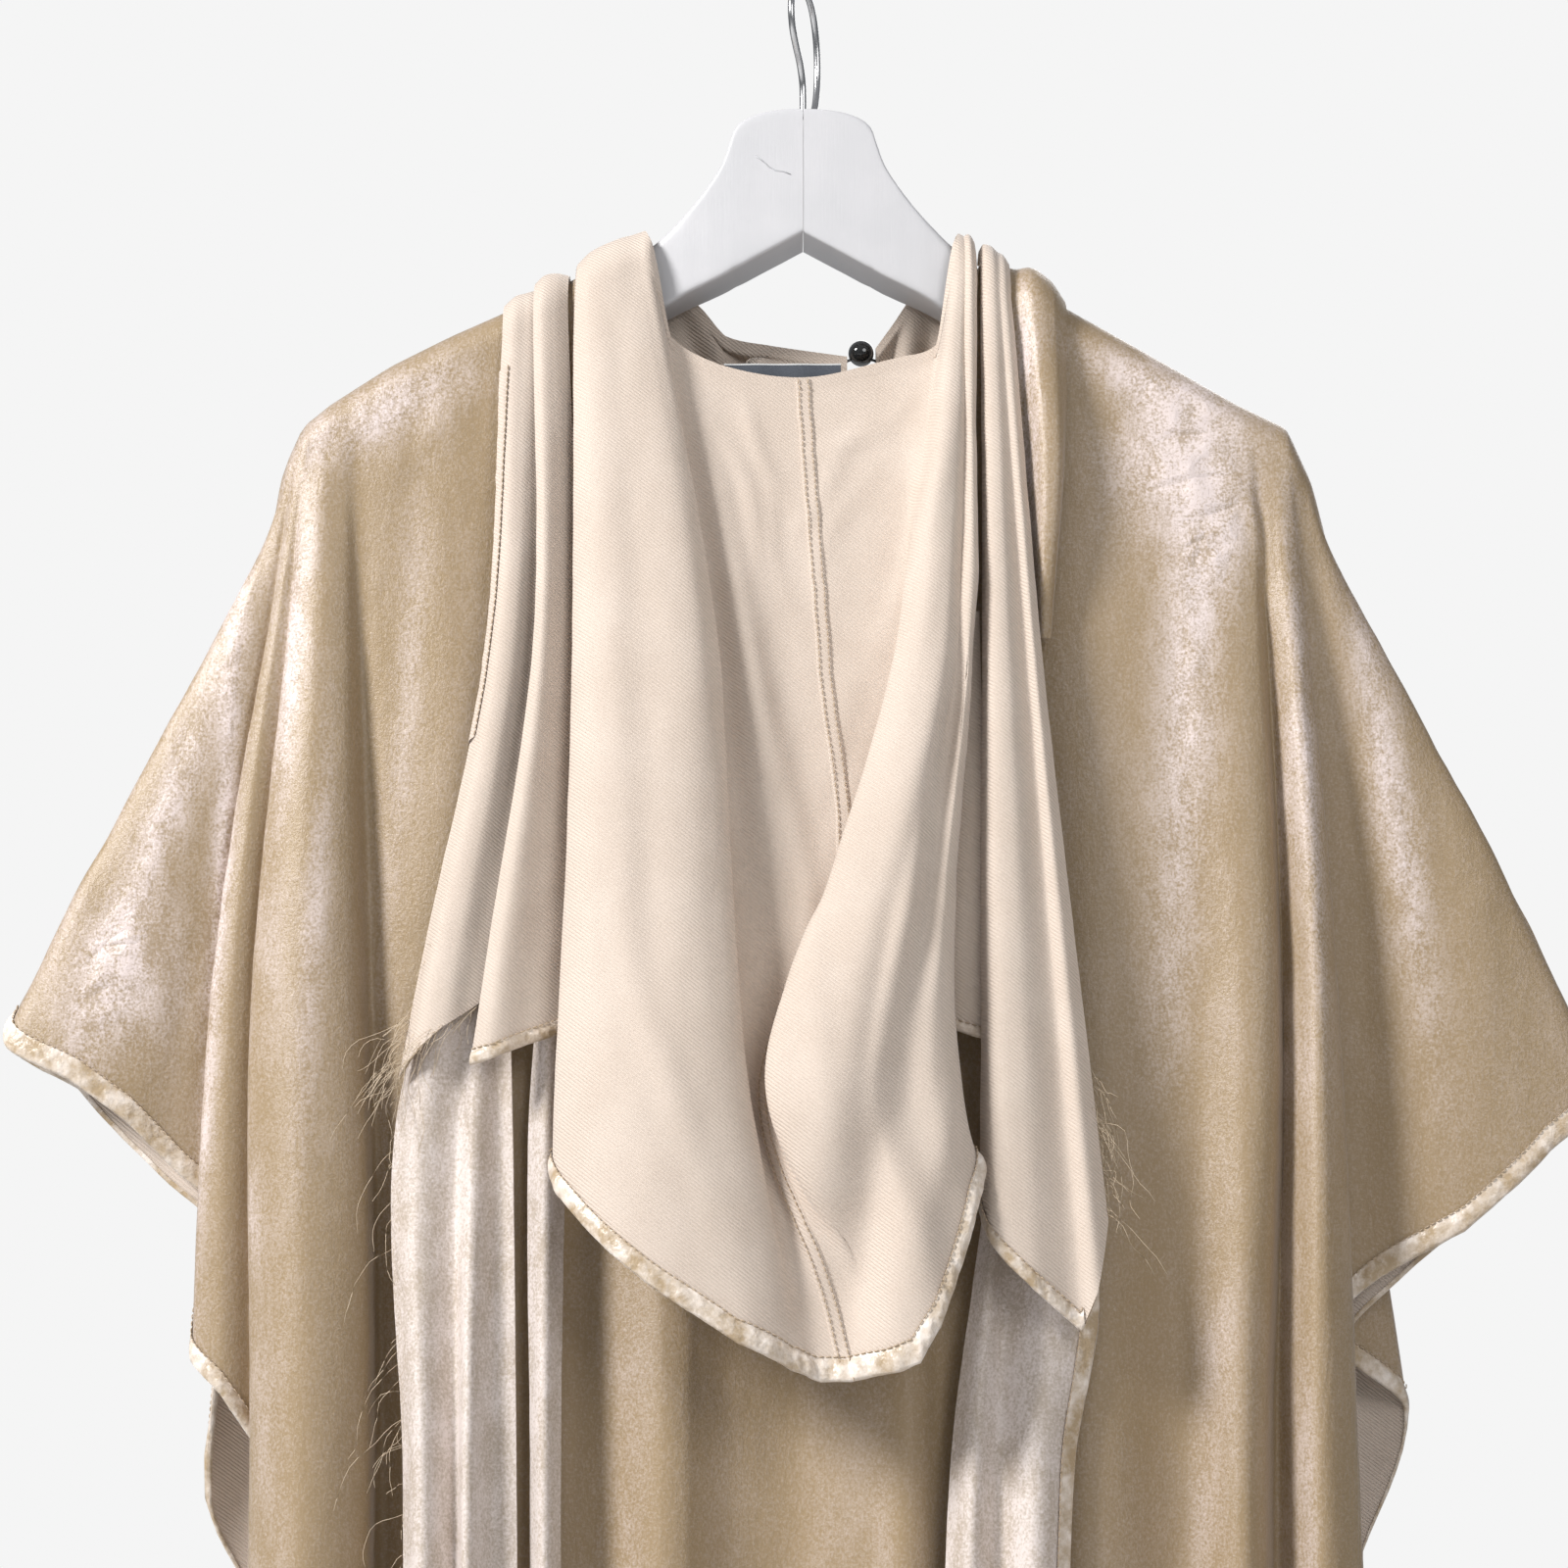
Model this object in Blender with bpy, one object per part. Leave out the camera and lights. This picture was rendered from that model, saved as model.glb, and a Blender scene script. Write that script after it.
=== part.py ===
"""Hooded cloak of thin pile cloth, hung on a wooden hanger with a wire hook.

Metres, +Z up. The side in the photograph faces -Y. The origin is the inside top of the hook.
Fold tables are in millimetres: each row is one fold line that runs down the cloth.
"""
import math

import bmesh
import bpy
from mathutils import Vector

COLLECTION = "hooded_cloak"
MM = 0.001

# Cloth thickness, gap left at each seam, and half that gap in millimetres.
CLOTH = 0.0017
SEAM = 0.0003
HALF_SEAM = SEAM / MM / 2.0

# Cloth over the hanger's arm: reach from its middle, steps in the turn, and how far the steps
# open where the turn is short.
ARM_REACH = 16.0
OVER_STEPS = 4
OVER_SPREAD = 1.5
OVER_CLOSE = 0.06
SHORT_STEP = 0.0001

# Side of the hanger on which a sheet hangs.
NEAR = -1.0
FAR = 1.0

# Panels: hem, how far they open from the hip to the hem, the heights named elbow and hip.
HEM = -1360.0
HEM_SPREAD = 0.75
HEM_DEPTH = 1.25
PANEL_LEVELS = (-457.0, -675.0)
PANEL_ROWS = 7
SHEET_PARTS = 2

HOOD_LEVELS = (-322.0, -428.0, -514.0, -588.0)
HOOD_ROWS = 11
HOOD_PARTS = 3

STRIP_LEVELS = (-322.0, -457.0)
STRIP_ROWS = 9

# Ridge of the shoulders and overarms: distance from the middle, height.
RIDGE = (
    (-240, -238),
    (-236, -224),
    (-228, -210),
    (-215, -199),
    (-188, -181),
    (-161, -167),
    (-137, -156),
    (-71, -123),
    (69, -124),
    (148, -170),
    (170, -183),
    (197, -199),
    (219, -210),
    (230, -229),
    (237, -247),
)

# Fold, x, y and z at the top, start of the turn over the shoulder in degrees,
# x and y at the elbow, x and y at the hip, height of the lower edge.
BACK_FOLDS = (
    ("left overarm", -240, 0, None, 0, -340, 0, -436, 0, -482),
    ("left wing edge", -239, 4, None, 0, -338, 5, -426, 5, -490),
    ("left wing outer", -237, 8, None, 0, -307, 11, -373, 12, -506),
    ("left wing middle", -235, 10, None, 0, -284, 10, -329, 12, -523),
    ("left wing inner", -233, 12, None, 0, -268, 6, -298, 6, -541),
    ("left wing tuck", -231, 13, None, 0, -257, 3, -259, 3, -563),
    ("first fold edge", -229, 14, None, 0, -260, 13, -266, 15, -627),
    ("first fold", -227, 15, None, 0, -251, 19, -252, 22, -642),
    ("first fold valley", -225, 16, None, 0, -239, 15, -237, 16, -667),
    ("second fold edge", -222, 16, None, 0, -241, 24, -237, 30, -800),
    ("second fold", -216, 16, None, 0, -218, 38, -212, 50, -1100),
    ("second fold inner edge", -209, 16, None, 0, -197, 31, -188, 38, HEM),
    ("second fold tuck", -203, 16, None, 0, -191, 17, -183, 17, HEM),
    ("left body valley", -195, 16, None, 0, -180, 20, -170, 22, HEM),
    ("left body ridge", -165, 16, None, 0, -146, 27, -138, 36, HEM),
    ("left hood valley", -120, 16, None, 0, -99, 20, -93, 26, HEM),
    ("left neck point", -82, 16, None, 0, -64, 25, -62, 44, HEM),
    ("left neck side", -77, 16, None, 90, -54, 25, -52, 43, HEM),
    ("left neck corner", -69, 16, -174, 90, -46, 23, -44, 38, HEM),
    ("left neck", -44, 16, -188, 90, -30, 21, -30, 30, HEM),
    ("middle", 0, 16, -194, 90, -2, 20, -6, 26, HEM),
    ("right neck", 42, 16, -187, 90, 26, 22, 26, 36, HEM),
    ("right neck corner", 70, 16, -176, 90, 42, 24, 42, 42, HEM),
    ("right neck side", 78, 16, None, 90, 50, 24, 50, 39, HEM),
    ("right neck point", 83, 16, None, 0, 59, 22, 58, 33, HEM),
    ("right hood valley", 98, 16, None, 0, 80, 20, 78, 26, HEM),
    ("right body ridge", 130, 16, None, 0, 128, 28, 124, 40, HEM),
    ("right body valley", 165, 16, None, 0, 170, 23, 164, 24, HEM),
    ("right body second ridge", 190, 16, None, 0, 194, 32, 186, 42, HEM),
    ("right body edge", 200, 16, None, 0, 205, 28, 196, 36, HEM),
    ("right tuck", 204.5, 16, None, 0, 211, 14, 204, 17, HEM),
    ("right strip edge", 209, 16, None, 0, 217, 24, 212, 31, HEM),
    ("right strip", 213, 16, None, 0, 224, 31, 220, 39, -1200),
    ("right strip outer edge", 217, 16, None, 0, 234, 20, 238, 24, -800),
    ("right wing tuck", 221, 15, None, 0, 231, 8, 234, 8, -610),
    ("right wing inner", 225, 13, None, 0, 248, 5, 247, 5, -595),
    ("right wing middle", 229, 11, None, 0, 275, 11, 296, 12, -572),
    ("right wing outer", 232, 8, None, 0, 305, 11, 356, 12, -537),
    ("right wing edge", 235, 4, None, 0, 330, 5, 408, 5, -512),
    ("right overarm", 237, 0, None, 0, 332, 0, 418, 0, -488),
)

FRONT_LEFT_FOLDS = (
    ("left overarm", -240, 0, None, 0, -340, 0, -436, 0, -482),
    ("wing edge", -239, 4, None, 0, -338, 5, -426, 5, -490),
    ("wing outer", -237, 8, None, 0, -307, 12, -373, 14, -508),
    ("wing inner", -234, 12, None, 0, -272, 7, -300, 7, -547),
    ("wing tuck", -231, 14, None, 0, -253, 4, -255, 4, -575),
    ("side fold edge", -227, 16, None, 0, -255, 15, -262, 20, -690),
    ("side fold", -223, 16, None, 0, -238, 25, -240, 32, -740),
    ("side fold tuck", -219, 16, None, 0, -226, 13, -224, 15, -850),
    ("shoulder fold", -212, 16, None, 0, -214, 30, -214, 44, -1150),
    ("shoulder fold inner", -203, 16, None, 0, -194, 21, -190, 26, HEM),
    ("body valley", -180, 16, None, 0, -165, 18, -160, 21, HEM),
    ("body ridge", -140, 16, None, 0, -125, 30, -118, 44, HEM),
    ("chest valley", -105, 16, None, 0, -90, 20, -85, 25, HEM),
    ("neck point", -82, 16, None, 0, -62, 27, -56, 42, HEM),
    ("neck side", -77, 16, None, 90, -52, 25, -48, 38, HEM),
    ("neck corner", -69, 16, -174, 90, -42, 21, -38, 32, HEM),
    ("neck", -30, 16, -180, 90, -14, 22, -12, 30, HEM),
    ("front edge", 24, 16, -182, 90, 20, 25, 18, 38, HEM),
)

FRONT_RIGHT_FOLDS = (
    ("front edge", 29, 16, -182, 90, 25, 25, 23, 36, HEM),
    ("neck", 48, 16, -178, 90, 40, 21, 38, 28, HEM),
    ("neck corner", 70, 16, -176, 90, 56, 23, 54, 34, HEM),
    ("neck side", 78, 16, None, 90, 62, 25, 59, 39, HEM),
    ("neck point", 83, 16, None, 0, 69, 26, 65, 42, HEM),
    ("chest valley", 96, 16, None, 0, 92, 20, 90, 25, HEM),
    ("body ridge", 135, 16, None, 0, 130, 31, 124, 45, HEM),
    ("body valley", 170, 16, None, 0, 168, 19, 160, 22, HEM),
    ("body second ridge", 192, 16, None, 0, 196, 30, 186, 42, HEM),
    ("shoulder tuck", 205, 16, None, 0, 212, 13, 206, 15, HEM),
    ("side fold", 211, 16, None, 0, 222, 27, 219, 36, -1150),
    ("side flare tuck", 215, 16, None, 0, 231, 27, 247, 37, -712),
    ("side flare", 219, 16, None, 0, 243, 23, 270, 29, -650),
    ("wing tuck", 223, 14, None, 0, 235, 11, 238, 12, -622),
    ("wing inner", 227, 12, None, 0, 256, 5, 262, 5, -594),
    ("wing outer", 232, 8, None, 0, 305, 12, 356, 14, -538),
    ("wing edge", 235, 4, None, 0, 330, 5, 408, 5, -511),
    ("right overarm", 237, 0, None, 0, 332, 0, 418, 0, -488),
)

# Panels: folds, side of the hanger, the yoke over the shoulders, then the stretches below it, each
# with its first and last fold. One panel of cloth is built in stretches to keep its inside open.
PANELS = (
    (BACK_FOLDS, NEAR, "back_yoke", (
        ("back_wing_left", 0, 8),
        ("back_panel", 8, 29),
        ("back_side_right", 29, 34),
        ("back_wing_right", 34, 39),
    )),
    (FRONT_LEFT_FOLDS, FAR, "front_left_yoke", (
        ("front_left_wing", 0, 4),
        ("front_left_side", 4, 10),
        ("front_left", 10, 17),
    )),
    (FRONT_RIGHT_FOLDS, FAR, "front_right_yoke", (
        ("front_right", 0, 8),
        ("front_right_side", 8, 13),
        ("front_right_wing", 13, 17),
    )),
)

# Fold, x, y and z at the top, start of the turn, then x and y at each of the four hood levels
# and the height of the lower edge.
HOOD_LEFT_FOLDS = (
    ("left back edge", -94, 19, None, -40, -94, 36, -93, 42, -93, 47, -92, 48, -544),
    ("left edge", -103, 22, None, -40, -102, 44, -103, 52, -106, 60, -107, 62, -550),
    ("lobe outer", -97, 25, None, -40, -92, 54, -92, 66, -92, 76, -92, 82, -573),
    ("lobe", -86, 25, None, -40, -69, 57, -69, 72, -68, 86, -66, 92, -596),
    ("lobe inner", -75, 23, None, -10, -46, 55, -44, 70, -38, 84, -31, 92, -621),
    ("lobe edge", -70, 22.5, None, 50, -36, 47, -31, 60, -24, 72, -12, 82, -632),
    ("lobe tuck", -60, 18.2, -171, 90, -42, 38, -36, 47, -27, 60, -9, 76, -634),
    ("hollow", -38, 18, -184, 90, -20, 33, -16, 42, -21, 55, -4, 73, -636),
)

HOOD_RIGHT_FOLDS = (
    ("centre seam", 0, 18, -190, 90, 9, 32, 16, 41, -17, 60, 4, 76, -636),
    ("hollow tuck", 42, 18, -181, 90, 46, 36, 29, 45, -10, 66, 11, 79, -635),
    ("lobe edge", 60, 18.2, -175, 90, 40, 48, 10, 64, -16, 76, 17, 83, -633),
    ("lobe inner", 69, 22.5, None, 50, 50, 57, 30, 76, 7, 88, 33, 88, -629),
    ("lobe", 72, 23, None, 0, 60, 56, 44, 76, 29, 90, 49, 88, -614),
    ("lobe valley", 73.5, 23, None, 0, 67, 49, 54, 66, 43, 82, 63, 80, -592),
    ("lobe outer", 75.5, 25, None, 0, 72, 52, 61, 66, 56, 78, 78, 70, -568),
    ("right edge", 77.6, 23.4, None, 0, 74, 44, 66, 54, 66, 66, 88, 60, -549),
    ("right back edge", 78.2, 20.2, None, 0, 67, 37, 59, 43, 59, 50, 80, 49, -545),
)

# Fold, x, y and z at the top, start of the turn, x and y at the breast, x and y at the elbow
# and the height of the lower edge.
LEFT_OUTER_FOLDS = (
    ("outer edge", -136, 19.2, None, -30, -141, 34, -166, 38, -508),
    ("outer", -131, 21.1, None, -30, -135, 41, -160, 47, -498),
    ("ridge", -126, 20.1, None, -30, -129, 41, -151, 49, -487),
    ("inner", -120, 19.2, None, -30, -121, 35, -141, 45, -479),
    ("hidden edge", -114, 19.2, None, -30, -113, 33, -131, 43, -470),
)

LEFT_INNER_FOLDS = (
    ("outer edge", -122, 22.5, None, -30, -119, 44, -137, 53, -503),
    ("outer", -118, 24.2, None, -30, -115, 47, -130, 56, -501),
    ("middle", -113, 22.7, None, -30, -108, 41, -117, 49, -494),
    ("hidden edge", -107, 18.7, None, -30, -100, 32, -101, 40, -487),
)

RIGHT_OUTER_FOLDS = (
    ("inner edge", 81, 20.8, None, -30, 79, 37, 77, 45, -565),
    ("inner", 82.5, 24.3, None, -30, 82, 46, 81, 56, -581),
    ("middle", 85.5, 25.3, None, -30, 89, 47, 92, 57, -597),
    ("valley", 88.5, 24.3, None, -30, 97, 41, 106, 50, -616),
    ("outer", 91, 24.3, None, -30, 101, 44, 112, 53, -600),
    ("outer edge", 93.5, 22.0, None, -30, 105, 39, 118, 47, -570),
)

ROLL_LEVELS = (-230.0, -300.0)
ROLL_FOLDS = (
    ("inner edge", 91, 19.2, None, -30, 96, 24, 97, 27, -312),
    ("under", 97, 21.1, None, -30, 100, 25, 102, 29, -312),
    ("crown", 104, 25.6, None, -30, 107, 36, 106, 34, -313),
    ("outer", 113, 24.6, None, -30, 114, 36, 109.5, 33, -313),
    ("outer edge", 119, 19.2, None, -30, 116.5, 28, 110.5, 28, -310),
)

FLAP_LEVELS = (-380.0, -457.0)
FLAP_FOLDS = (
    ("inner edge", 66, 28, -300, 90, 62, 34, 60, 38, -484),
    ("middle", 72, 29, -300, 90, 70, 37, 69, 41, -488),
    ("outer edge", 78, 29, -300, 90, 79, 39.1, 81, 41.4, -492),
)

# Lower ends of the scarf, pile side out: as the strips above, with their own levels.
LOWER_LEFT_LEVELS = (-528.0, -675.0, -950.0)
LOWER_LEFT_FOLDS = (
    ("outer edge", -157, 38, -440, 90, -177, 34, -170, 43, -164, 50, -985),
    ("outer ridge", -150, 46.0, -440, 90, -165, 42, -161, 56, -155, 62, -980),
    ("valley", -144, 42, -440, 90, -150, 37, -148, 46, -143, 53, -968),
    ("inner ridge", -138, 35, -440, 90, -142, 42, -142, 58, -136, 65, -950),
    ("inner valley", -134, 34, -440, 90, -132, 36, -132, 46, -127, 53, -940),
    ("inner edge", -129, 33, -440, 90, -126, 37, -122, 46, -117, 55, -932),
)
SECOND_LEFT_FOLDS = (
    ("outer edge", -116, 34, -470, 90, -119, 36, -116, 42, -112, 48, -890),
    ("ridge", -110, 43, -470, 90, -111, 44, -110, 50, -106, 57, -895),
    ("inner edge", -103, 34, -470, 90, -103, 37, -104, 43, -99, 50, -900),
)
LOWER_RIGHT_LEVELS = (-600.0, -675.0, -950.0)
LOWER_RIGHT_FOLDS = (
    ("inner edge", 84, 36, -520, 90, 72, 40, 62, 44, 57, 52, -960),
    ("inner ridge", 87, 42, -520, 90, 78, 47, 71, 56, 67, 64, -962),
    ("valley", 91, 41, -520, 90, 86, 42, 82, 48, 79, 56, -965),
    ("ridge", 104, 54.6, -520, 90, 104, 50.5, 97, 58, 95, 66, -972),
    ("outer edge", 110, 37, -520, 90, 125, 43, 113, 47, 111, 56, -980),
)

COLLAR_LEVELS = (-170.0, -186.0)
COLLAR_ROWS = 4
COLLAR_LEFT_FOLDS = (
    ("shoulder", -88, 19, None, 0, -84, 22, -82, 24, -200),
    ("outer pleat", -78, 20, None, 0, -72, 27, -70, 29, -200),
    ("outer tuck", -69, 19, None, 40, -60, 21, -58, 23, -198),
    ("middle pleat", -58, 19, -136, 90, -50, 25, -48, 27, -196),
    ("middle tuck", -46, 19, -148, 90, -39, 20, -37, 21, -195),
    ("inner pleat", -36, 19, -160, 90, -29, 24, -28, 25, -194),
    ("band", -14, 18.6, -165, 90, -13, 20, -13, 20, -193),
    ("band end", 20.4, 18.6, -170, 90, 20.4, 19, 20.4, 19, -192),
)
COLLAR_RIGHT_FOLDS = (
    ("band end", 33.6, 18.6, -166, 90, 34, 19, 34, 19, -192),
    ("inner pleat", 42, 19, -154, 90, 40, 23, 40, 25, -193),
    ("tuck", 50, 19, -142, 90, 48, 20, 47, 21, -194),
    ("middle pleat", 59, 19.5, -134, 85, 59, 25, 57, 27, -196),
    ("outer tuck", 69, 19.5, None, 30, 68, 21, 67, 22, -198),
    ("shoulder", 76.5, 19, None, 0, 76, 23, 75, 25, -200),
)

# Half of the hanger: distance from the middle, top, underside, half depth, squareness.
HANGER_SECTIONS = (
    (0.15, -62, -121, 16.5, 24.0),
    (10, -62.4, -126.5, 16.5, 24.0),
    (20, -64.2, -132, 16.3, 24.0),
    (27, -67.2, -136, 16.2, 22.0),
    (31, -71, -138, 16.1, 20.0),
    (33.5, -78, -139.5, 16.0, 20.0),
    (37, -88, -141.5, 15.8, 20.0),
    (43, -98, -144.5, 15.5, 18.0),
    (54, -112, -150, 14.6, 13.0),
    (65, -122.4, -156.5, 13.2, 7.0),
    (80, -132, -163, 12.4, 2.0),
    (137, -157.7, -189, 12.8, 2.0),
    (188, -184.6, -214, 12.8, 2.0),
    (212, -200.5, -228, 12.5, 2.2),
    (219, -207, -227, 10.0, 2.2),
    (222, -212, -224, 6.0, 2.2),
)
HANGER_SIDES = 16
RIGHT_ARM_DROOP = 0.1
ARM_START = 60.0

HOOK_WIRE = 0.0016
HOOK_TURN = math.radians(74.0)
HOOK_ROUNDNESS = 3

# Bend, distance from the shaft in the hook's own plane, height.
HOOK_BENDS = (
    ("foot", 0, -61.7),
    ("shaft", 0, -50),
    ("neck", -1, -44),
    ("neck bend", -5, -37),
    ("near low", -12, -30.5),
    ("near side", -17.5, -24),
    ("near", -19.8, -16),
    ("near shoulder", -18.2, -8),
    ("near top", -13.5, -2),
    ("near crown", -7, 0.8),
    ("crown", 0, 1.6),
    ("far crown", 7, 1),
    ("far top", 14, -2),
    ("far shoulder", 19.5, -8),
    ("far", 23, -16),
    ("far side", 24.8, -26),
    ("far low", 24.5, -36),
    ("far bend", 22, -46),
    ("far curl", 18, -53.5),
    ("tip", 14.5, -57.8),
)

BEAD_CENTRE = (0.027, 0.020, -0.168)
BEAD_RADIUS = 0.006
BEAD_SEGMENTS = 16
BEAD_RINGS = 10

LABEL_CENTRE = (-0.0095, -0.0146, -0.193)
LABEL_SIZE = (0.053, 0.0006, 0.020)

MATERIALS = {
    "pile_cloth": ((0.40, 0.29, 0.19, 1.0), 0.55, 0.0),
    "smooth_cloth": ((0.60, 0.48, 0.38, 1.0), 0.7, 0.0),
    "white_paint": ((0.80, 0.79, 0.77, 1.0), 0.4, 0.0),
    "steel": ((0.62, 0.62, 0.62, 1.0), 0.3, 1.0),
    "black_bead": ((0.02, 0.02, 0.02, 1.0), 0.15, 0.0),
    "label_cloth": ((0.33, 0.37, 0.42, 1.0), 0.8, 0.0),
}


def clear_scene():
    """Empty the scene."""
    for item in list(bpy.data.objects):
        bpy.data.objects.remove(item, do_unlink=True)


def home_collection():
    """Collection that holds every piece."""
    home = bpy.data.collections.new(COLLECTION)
    bpy.context.scene.collection.children.link(home)
    return home


def make_material(name):
    """Plain material of one finish."""
    colour, roughness, metallic = MATERIALS[name]
    material = bpy.data.materials.new(name)
    material.use_nodes = True
    shader = material.node_tree.nodes["Principled BSDF"]
    shader.inputs["Base Color"].default_value = colour
    shader.inputs["Roughness"].default_value = roughness
    shader.inputs["Metallic"].default_value = metallic
    return material


def add_piece(home, name, shape, material):
    """Turn a finished shape into a named piece."""
    bmesh.ops.recalc_face_normals(shape, faces=shape.faces)
    if shape.calc_volume(signed=True) < 0.0:
        bmesh.ops.reverse_faces(shape, faces=shape.faces)
    mesh = bpy.data.meshes.new(name)
    shape.to_mesh(mesh)
    shape.free()
    mesh.materials.append(material)
    piece = bpy.data.objects.new(name, mesh)
    home.objects.link(piece)
    return piece


def between(table, place):
    """Value of a two-column table at a place, straight between its rows."""
    for low, high in zip(table, table[1:]):
        if place <= high[0]:
            share = (place - low[0]) / (high[0] - low[0])
            return low[1] + share * (high[1] - low[1])
    return table[-1][1]


def curve_point(points, index, share):
    """Point on a rounded curve through the points, a share of the way from one to the next."""
    first = points[index]
    second = points[index + 1]
    before = points[index - 1] if index > 0 else first * 2.0 - second
    after = points[index + 2] if index + 2 < len(points) else second * 2.0 - first
    gap_in = max((first - before).length ** 0.5, SHORT_STEP)
    gap = max((second - first).length ** 0.5, SHORT_STEP)
    gap_out = max((after - second).length ** 0.5, SHORT_STEP)
    lean_in = (first - before) / gap_in - (second - before) / (gap_in + gap) + (second - first) / gap
    lean_out = (second - first) / gap - (after - first) / (gap + gap_out) + (after - second) / gap_out
    lean_in *= gap
    lean_out *= gap
    square = share * share
    cube = square * share
    return (
        first * (2.0 * cube - 3.0 * square + 1.0)
        + lean_in * (cube - 2.0 * square + share)
        + second * (3.0 * square - 2.0 * cube)
        + lean_out * (cube - square)
    )


def fall(stations, height):
    """Point at a height on a line that hangs through the stations, listed from the top."""
    last = len(stations) - 2
    index = 0
    while index < last and height < stations[index + 1].z:
        index += 1
    upper = stations[index]
    lower = stations[index + 1]
    span = lower.z - upper.z
    slope = (lower - upper) / span
    if height < lower.z:
        return lower + slope * (height - lower.z)
    slope_in = slope
    slope_out = slope
    if index > 0:
        above = stations[index - 1]
        slope_in = (slope + (upper - above) / (upper.z - above.z)) * 0.5
    if index < last:
        below = stations[index + 2]
        slope_out = (slope + (below - lower) / (below.z - lower.z)) * 0.5
    share = (height - upper.z) / span
    square = share * share
    cube = square * share
    place = (
        upper * (2.0 * cube - 3.0 * square + 1.0)
        + slope_in * span * (cube - 2.0 * square + share)
        + lower * (3.0 * square - 2.0 * cube)
        + slope_out * span * (cube - square)
    )
    return Vector((place.x, place.y, height))


def on_arm(across, reach, turn):
    """Height where cloth that wraps the hanger's arm begins."""
    return between(RIDGE, across) - ARM_REACH + reach * math.cos(math.radians(max(turn, 0.0)))


def read_fold(row, levels, side):
    """Top, turn, stations and lower edge of one fold row."""
    across, reach, height, turn = row[1:5]
    if height is None:
        height = on_arm(across, reach, turn)
    top = Vector((across, side * max(reach, HALF_SEAM), height))
    stations = []
    for number, level in enumerate(levels):
        x = row[5 + 2 * number]
        y = side * max(row[6 + 2 * number], HALF_SEAM)
        stations.append(Vector((x, y, level)))
    return top, turn, stations, row[-1]


def hang_line(top, turn, stations, end, rows, side):
    """Points down one line of cloth: over the shoulder, then straight down to the edge."""
    reach = abs(top.y)
    centre = top.z - reach * math.cos(math.radians(max(turn, 0.0)))
    turned = reach * math.radians(90.0 - turn)
    spread = max(OVER_SPREAD - turned * OVER_CLOSE, 0.0)
    line = []
    for step in range(OVER_STEPS):
        angle = math.radians(turn + (90.0 - turn) * step / OVER_STEPS)
        y = reach * math.sin(angle)
        if turn >= 0.0:
            y = max(y, HALF_SEAM)
        z = centre + reach * math.cos(angle) - spread * step
        line.append(Vector((top.x, side * y, z)))
    start = Vector((top.x, top.y, centre - spread * OVER_STEPS))
    path = [start] + stations
    for step in range(rows + 1):
        height = start.z + (end - start.z) * step / rows
        line.append(fall(path, height))
    return line


def cloth_grid(folds, levels, rows, side, parts=SHEET_PARTS):
    """Grid of points over a hanging sheet, one list for each line from its top to its edge."""
    read = [read_fold(row, levels, side) for row in folds]
    if levels == PANEL_LEVELS:
        for top, turn, stations, end in read:
            upper, lower = stations
            spread = lower.x + (lower.x - upper.x) * HEM_SPREAD
            stations.append(Vector((spread, lower.y * HEM_DEPTH, HEM)))
    tops = [entry[0] for entry in read]
    lines = []
    count = (len(read) - 1) * parts
    for number in range(count + 1):
        index = min(number // parts, len(read) - 2)
        share = (number - index * parts) / parts
        top = curve_point(tops, index, share)
        top.x = tops[index].x + (tops[index + 1].x - tops[index].x) * share
        stations = []
        for level in range(len(read[0][2])):
            stations.append(curve_point([entry[2][level] for entry in read], index, share))
        turn = read[index][1] + (read[index + 1][1] - read[index][1]) * share
        if folds[index][3] is None and folds[index + 1][3] is None:
            top.z = on_arm(top.x, abs(top.y), turn)
        end = read[index][3] + (read[index + 1][3] - read[index][3]) * share
        lines.append(hang_line(top, turn, stations, end, rows, side))
    return [[point * MM for point in line] for line in lines]


def grid_normals(lines):
    """Direction out of the sheet at each point."""
    normals = []
    for i, line in enumerate(lines):
        left = lines[max(i - 1, 0)]
        right = lines[min(i + 1, len(lines) - 1)]
        column = []
        for j in range(len(line)):
            across = right[j] - left[j]
            down = line[min(j + 1, len(line) - 1)] - line[max(j - 1, 0)]
            normal = across.cross(down).normalized()
            if abs(line[j].y) < SEAM:
                normal = Vector((normal.x, 0.0, normal.z)).normalized()
            column.append(normal)
        normals.append(column)
    return normals


def sheet_solid(lines, normals=None, thickness=CLOTH):
    """Closed sheet of even thickness about a grid of points."""
    if normals is None:
        normals = grid_normals(lines)
    shape = bmesh.new()
    faces = []
    for sign in (0.5, -0.5):
        layer = []
        for line, column in zip(lines, normals):
            layer.append([shape.verts.new(p + n * thickness * sign) for p, n in zip(line, column)])
        faces.append(layer)
    outer, inner = faces
    for layer in (outer, inner):
        for a, b in zip(layer, layer[1:]):
            for j in range(len(a) - 1):
                shape.faces.new((a[j], a[j + 1], b[j + 1], b[j]))
    for a, b in ((outer[0], inner[0]), (outer[-1], inner[-1])):
        for j in range(len(a) - 1):
            shape.faces.new((a[j], a[j + 1], b[j + 1], b[j]))
    for end in (0, -1):
        for i in range(len(outer) - 1):
            shape.faces.new((outer[i][end], outer[i + 1][end], inner[i + 1][end], inner[i][end]))
    return shape


def drawn_in(edge, beside):
    """Edge of a grid moved half a seam towards the points beside it."""
    return [a + (b - a).normalized() * (SEAM / 2.0) for a, b in zip(edge, beside)]


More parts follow.
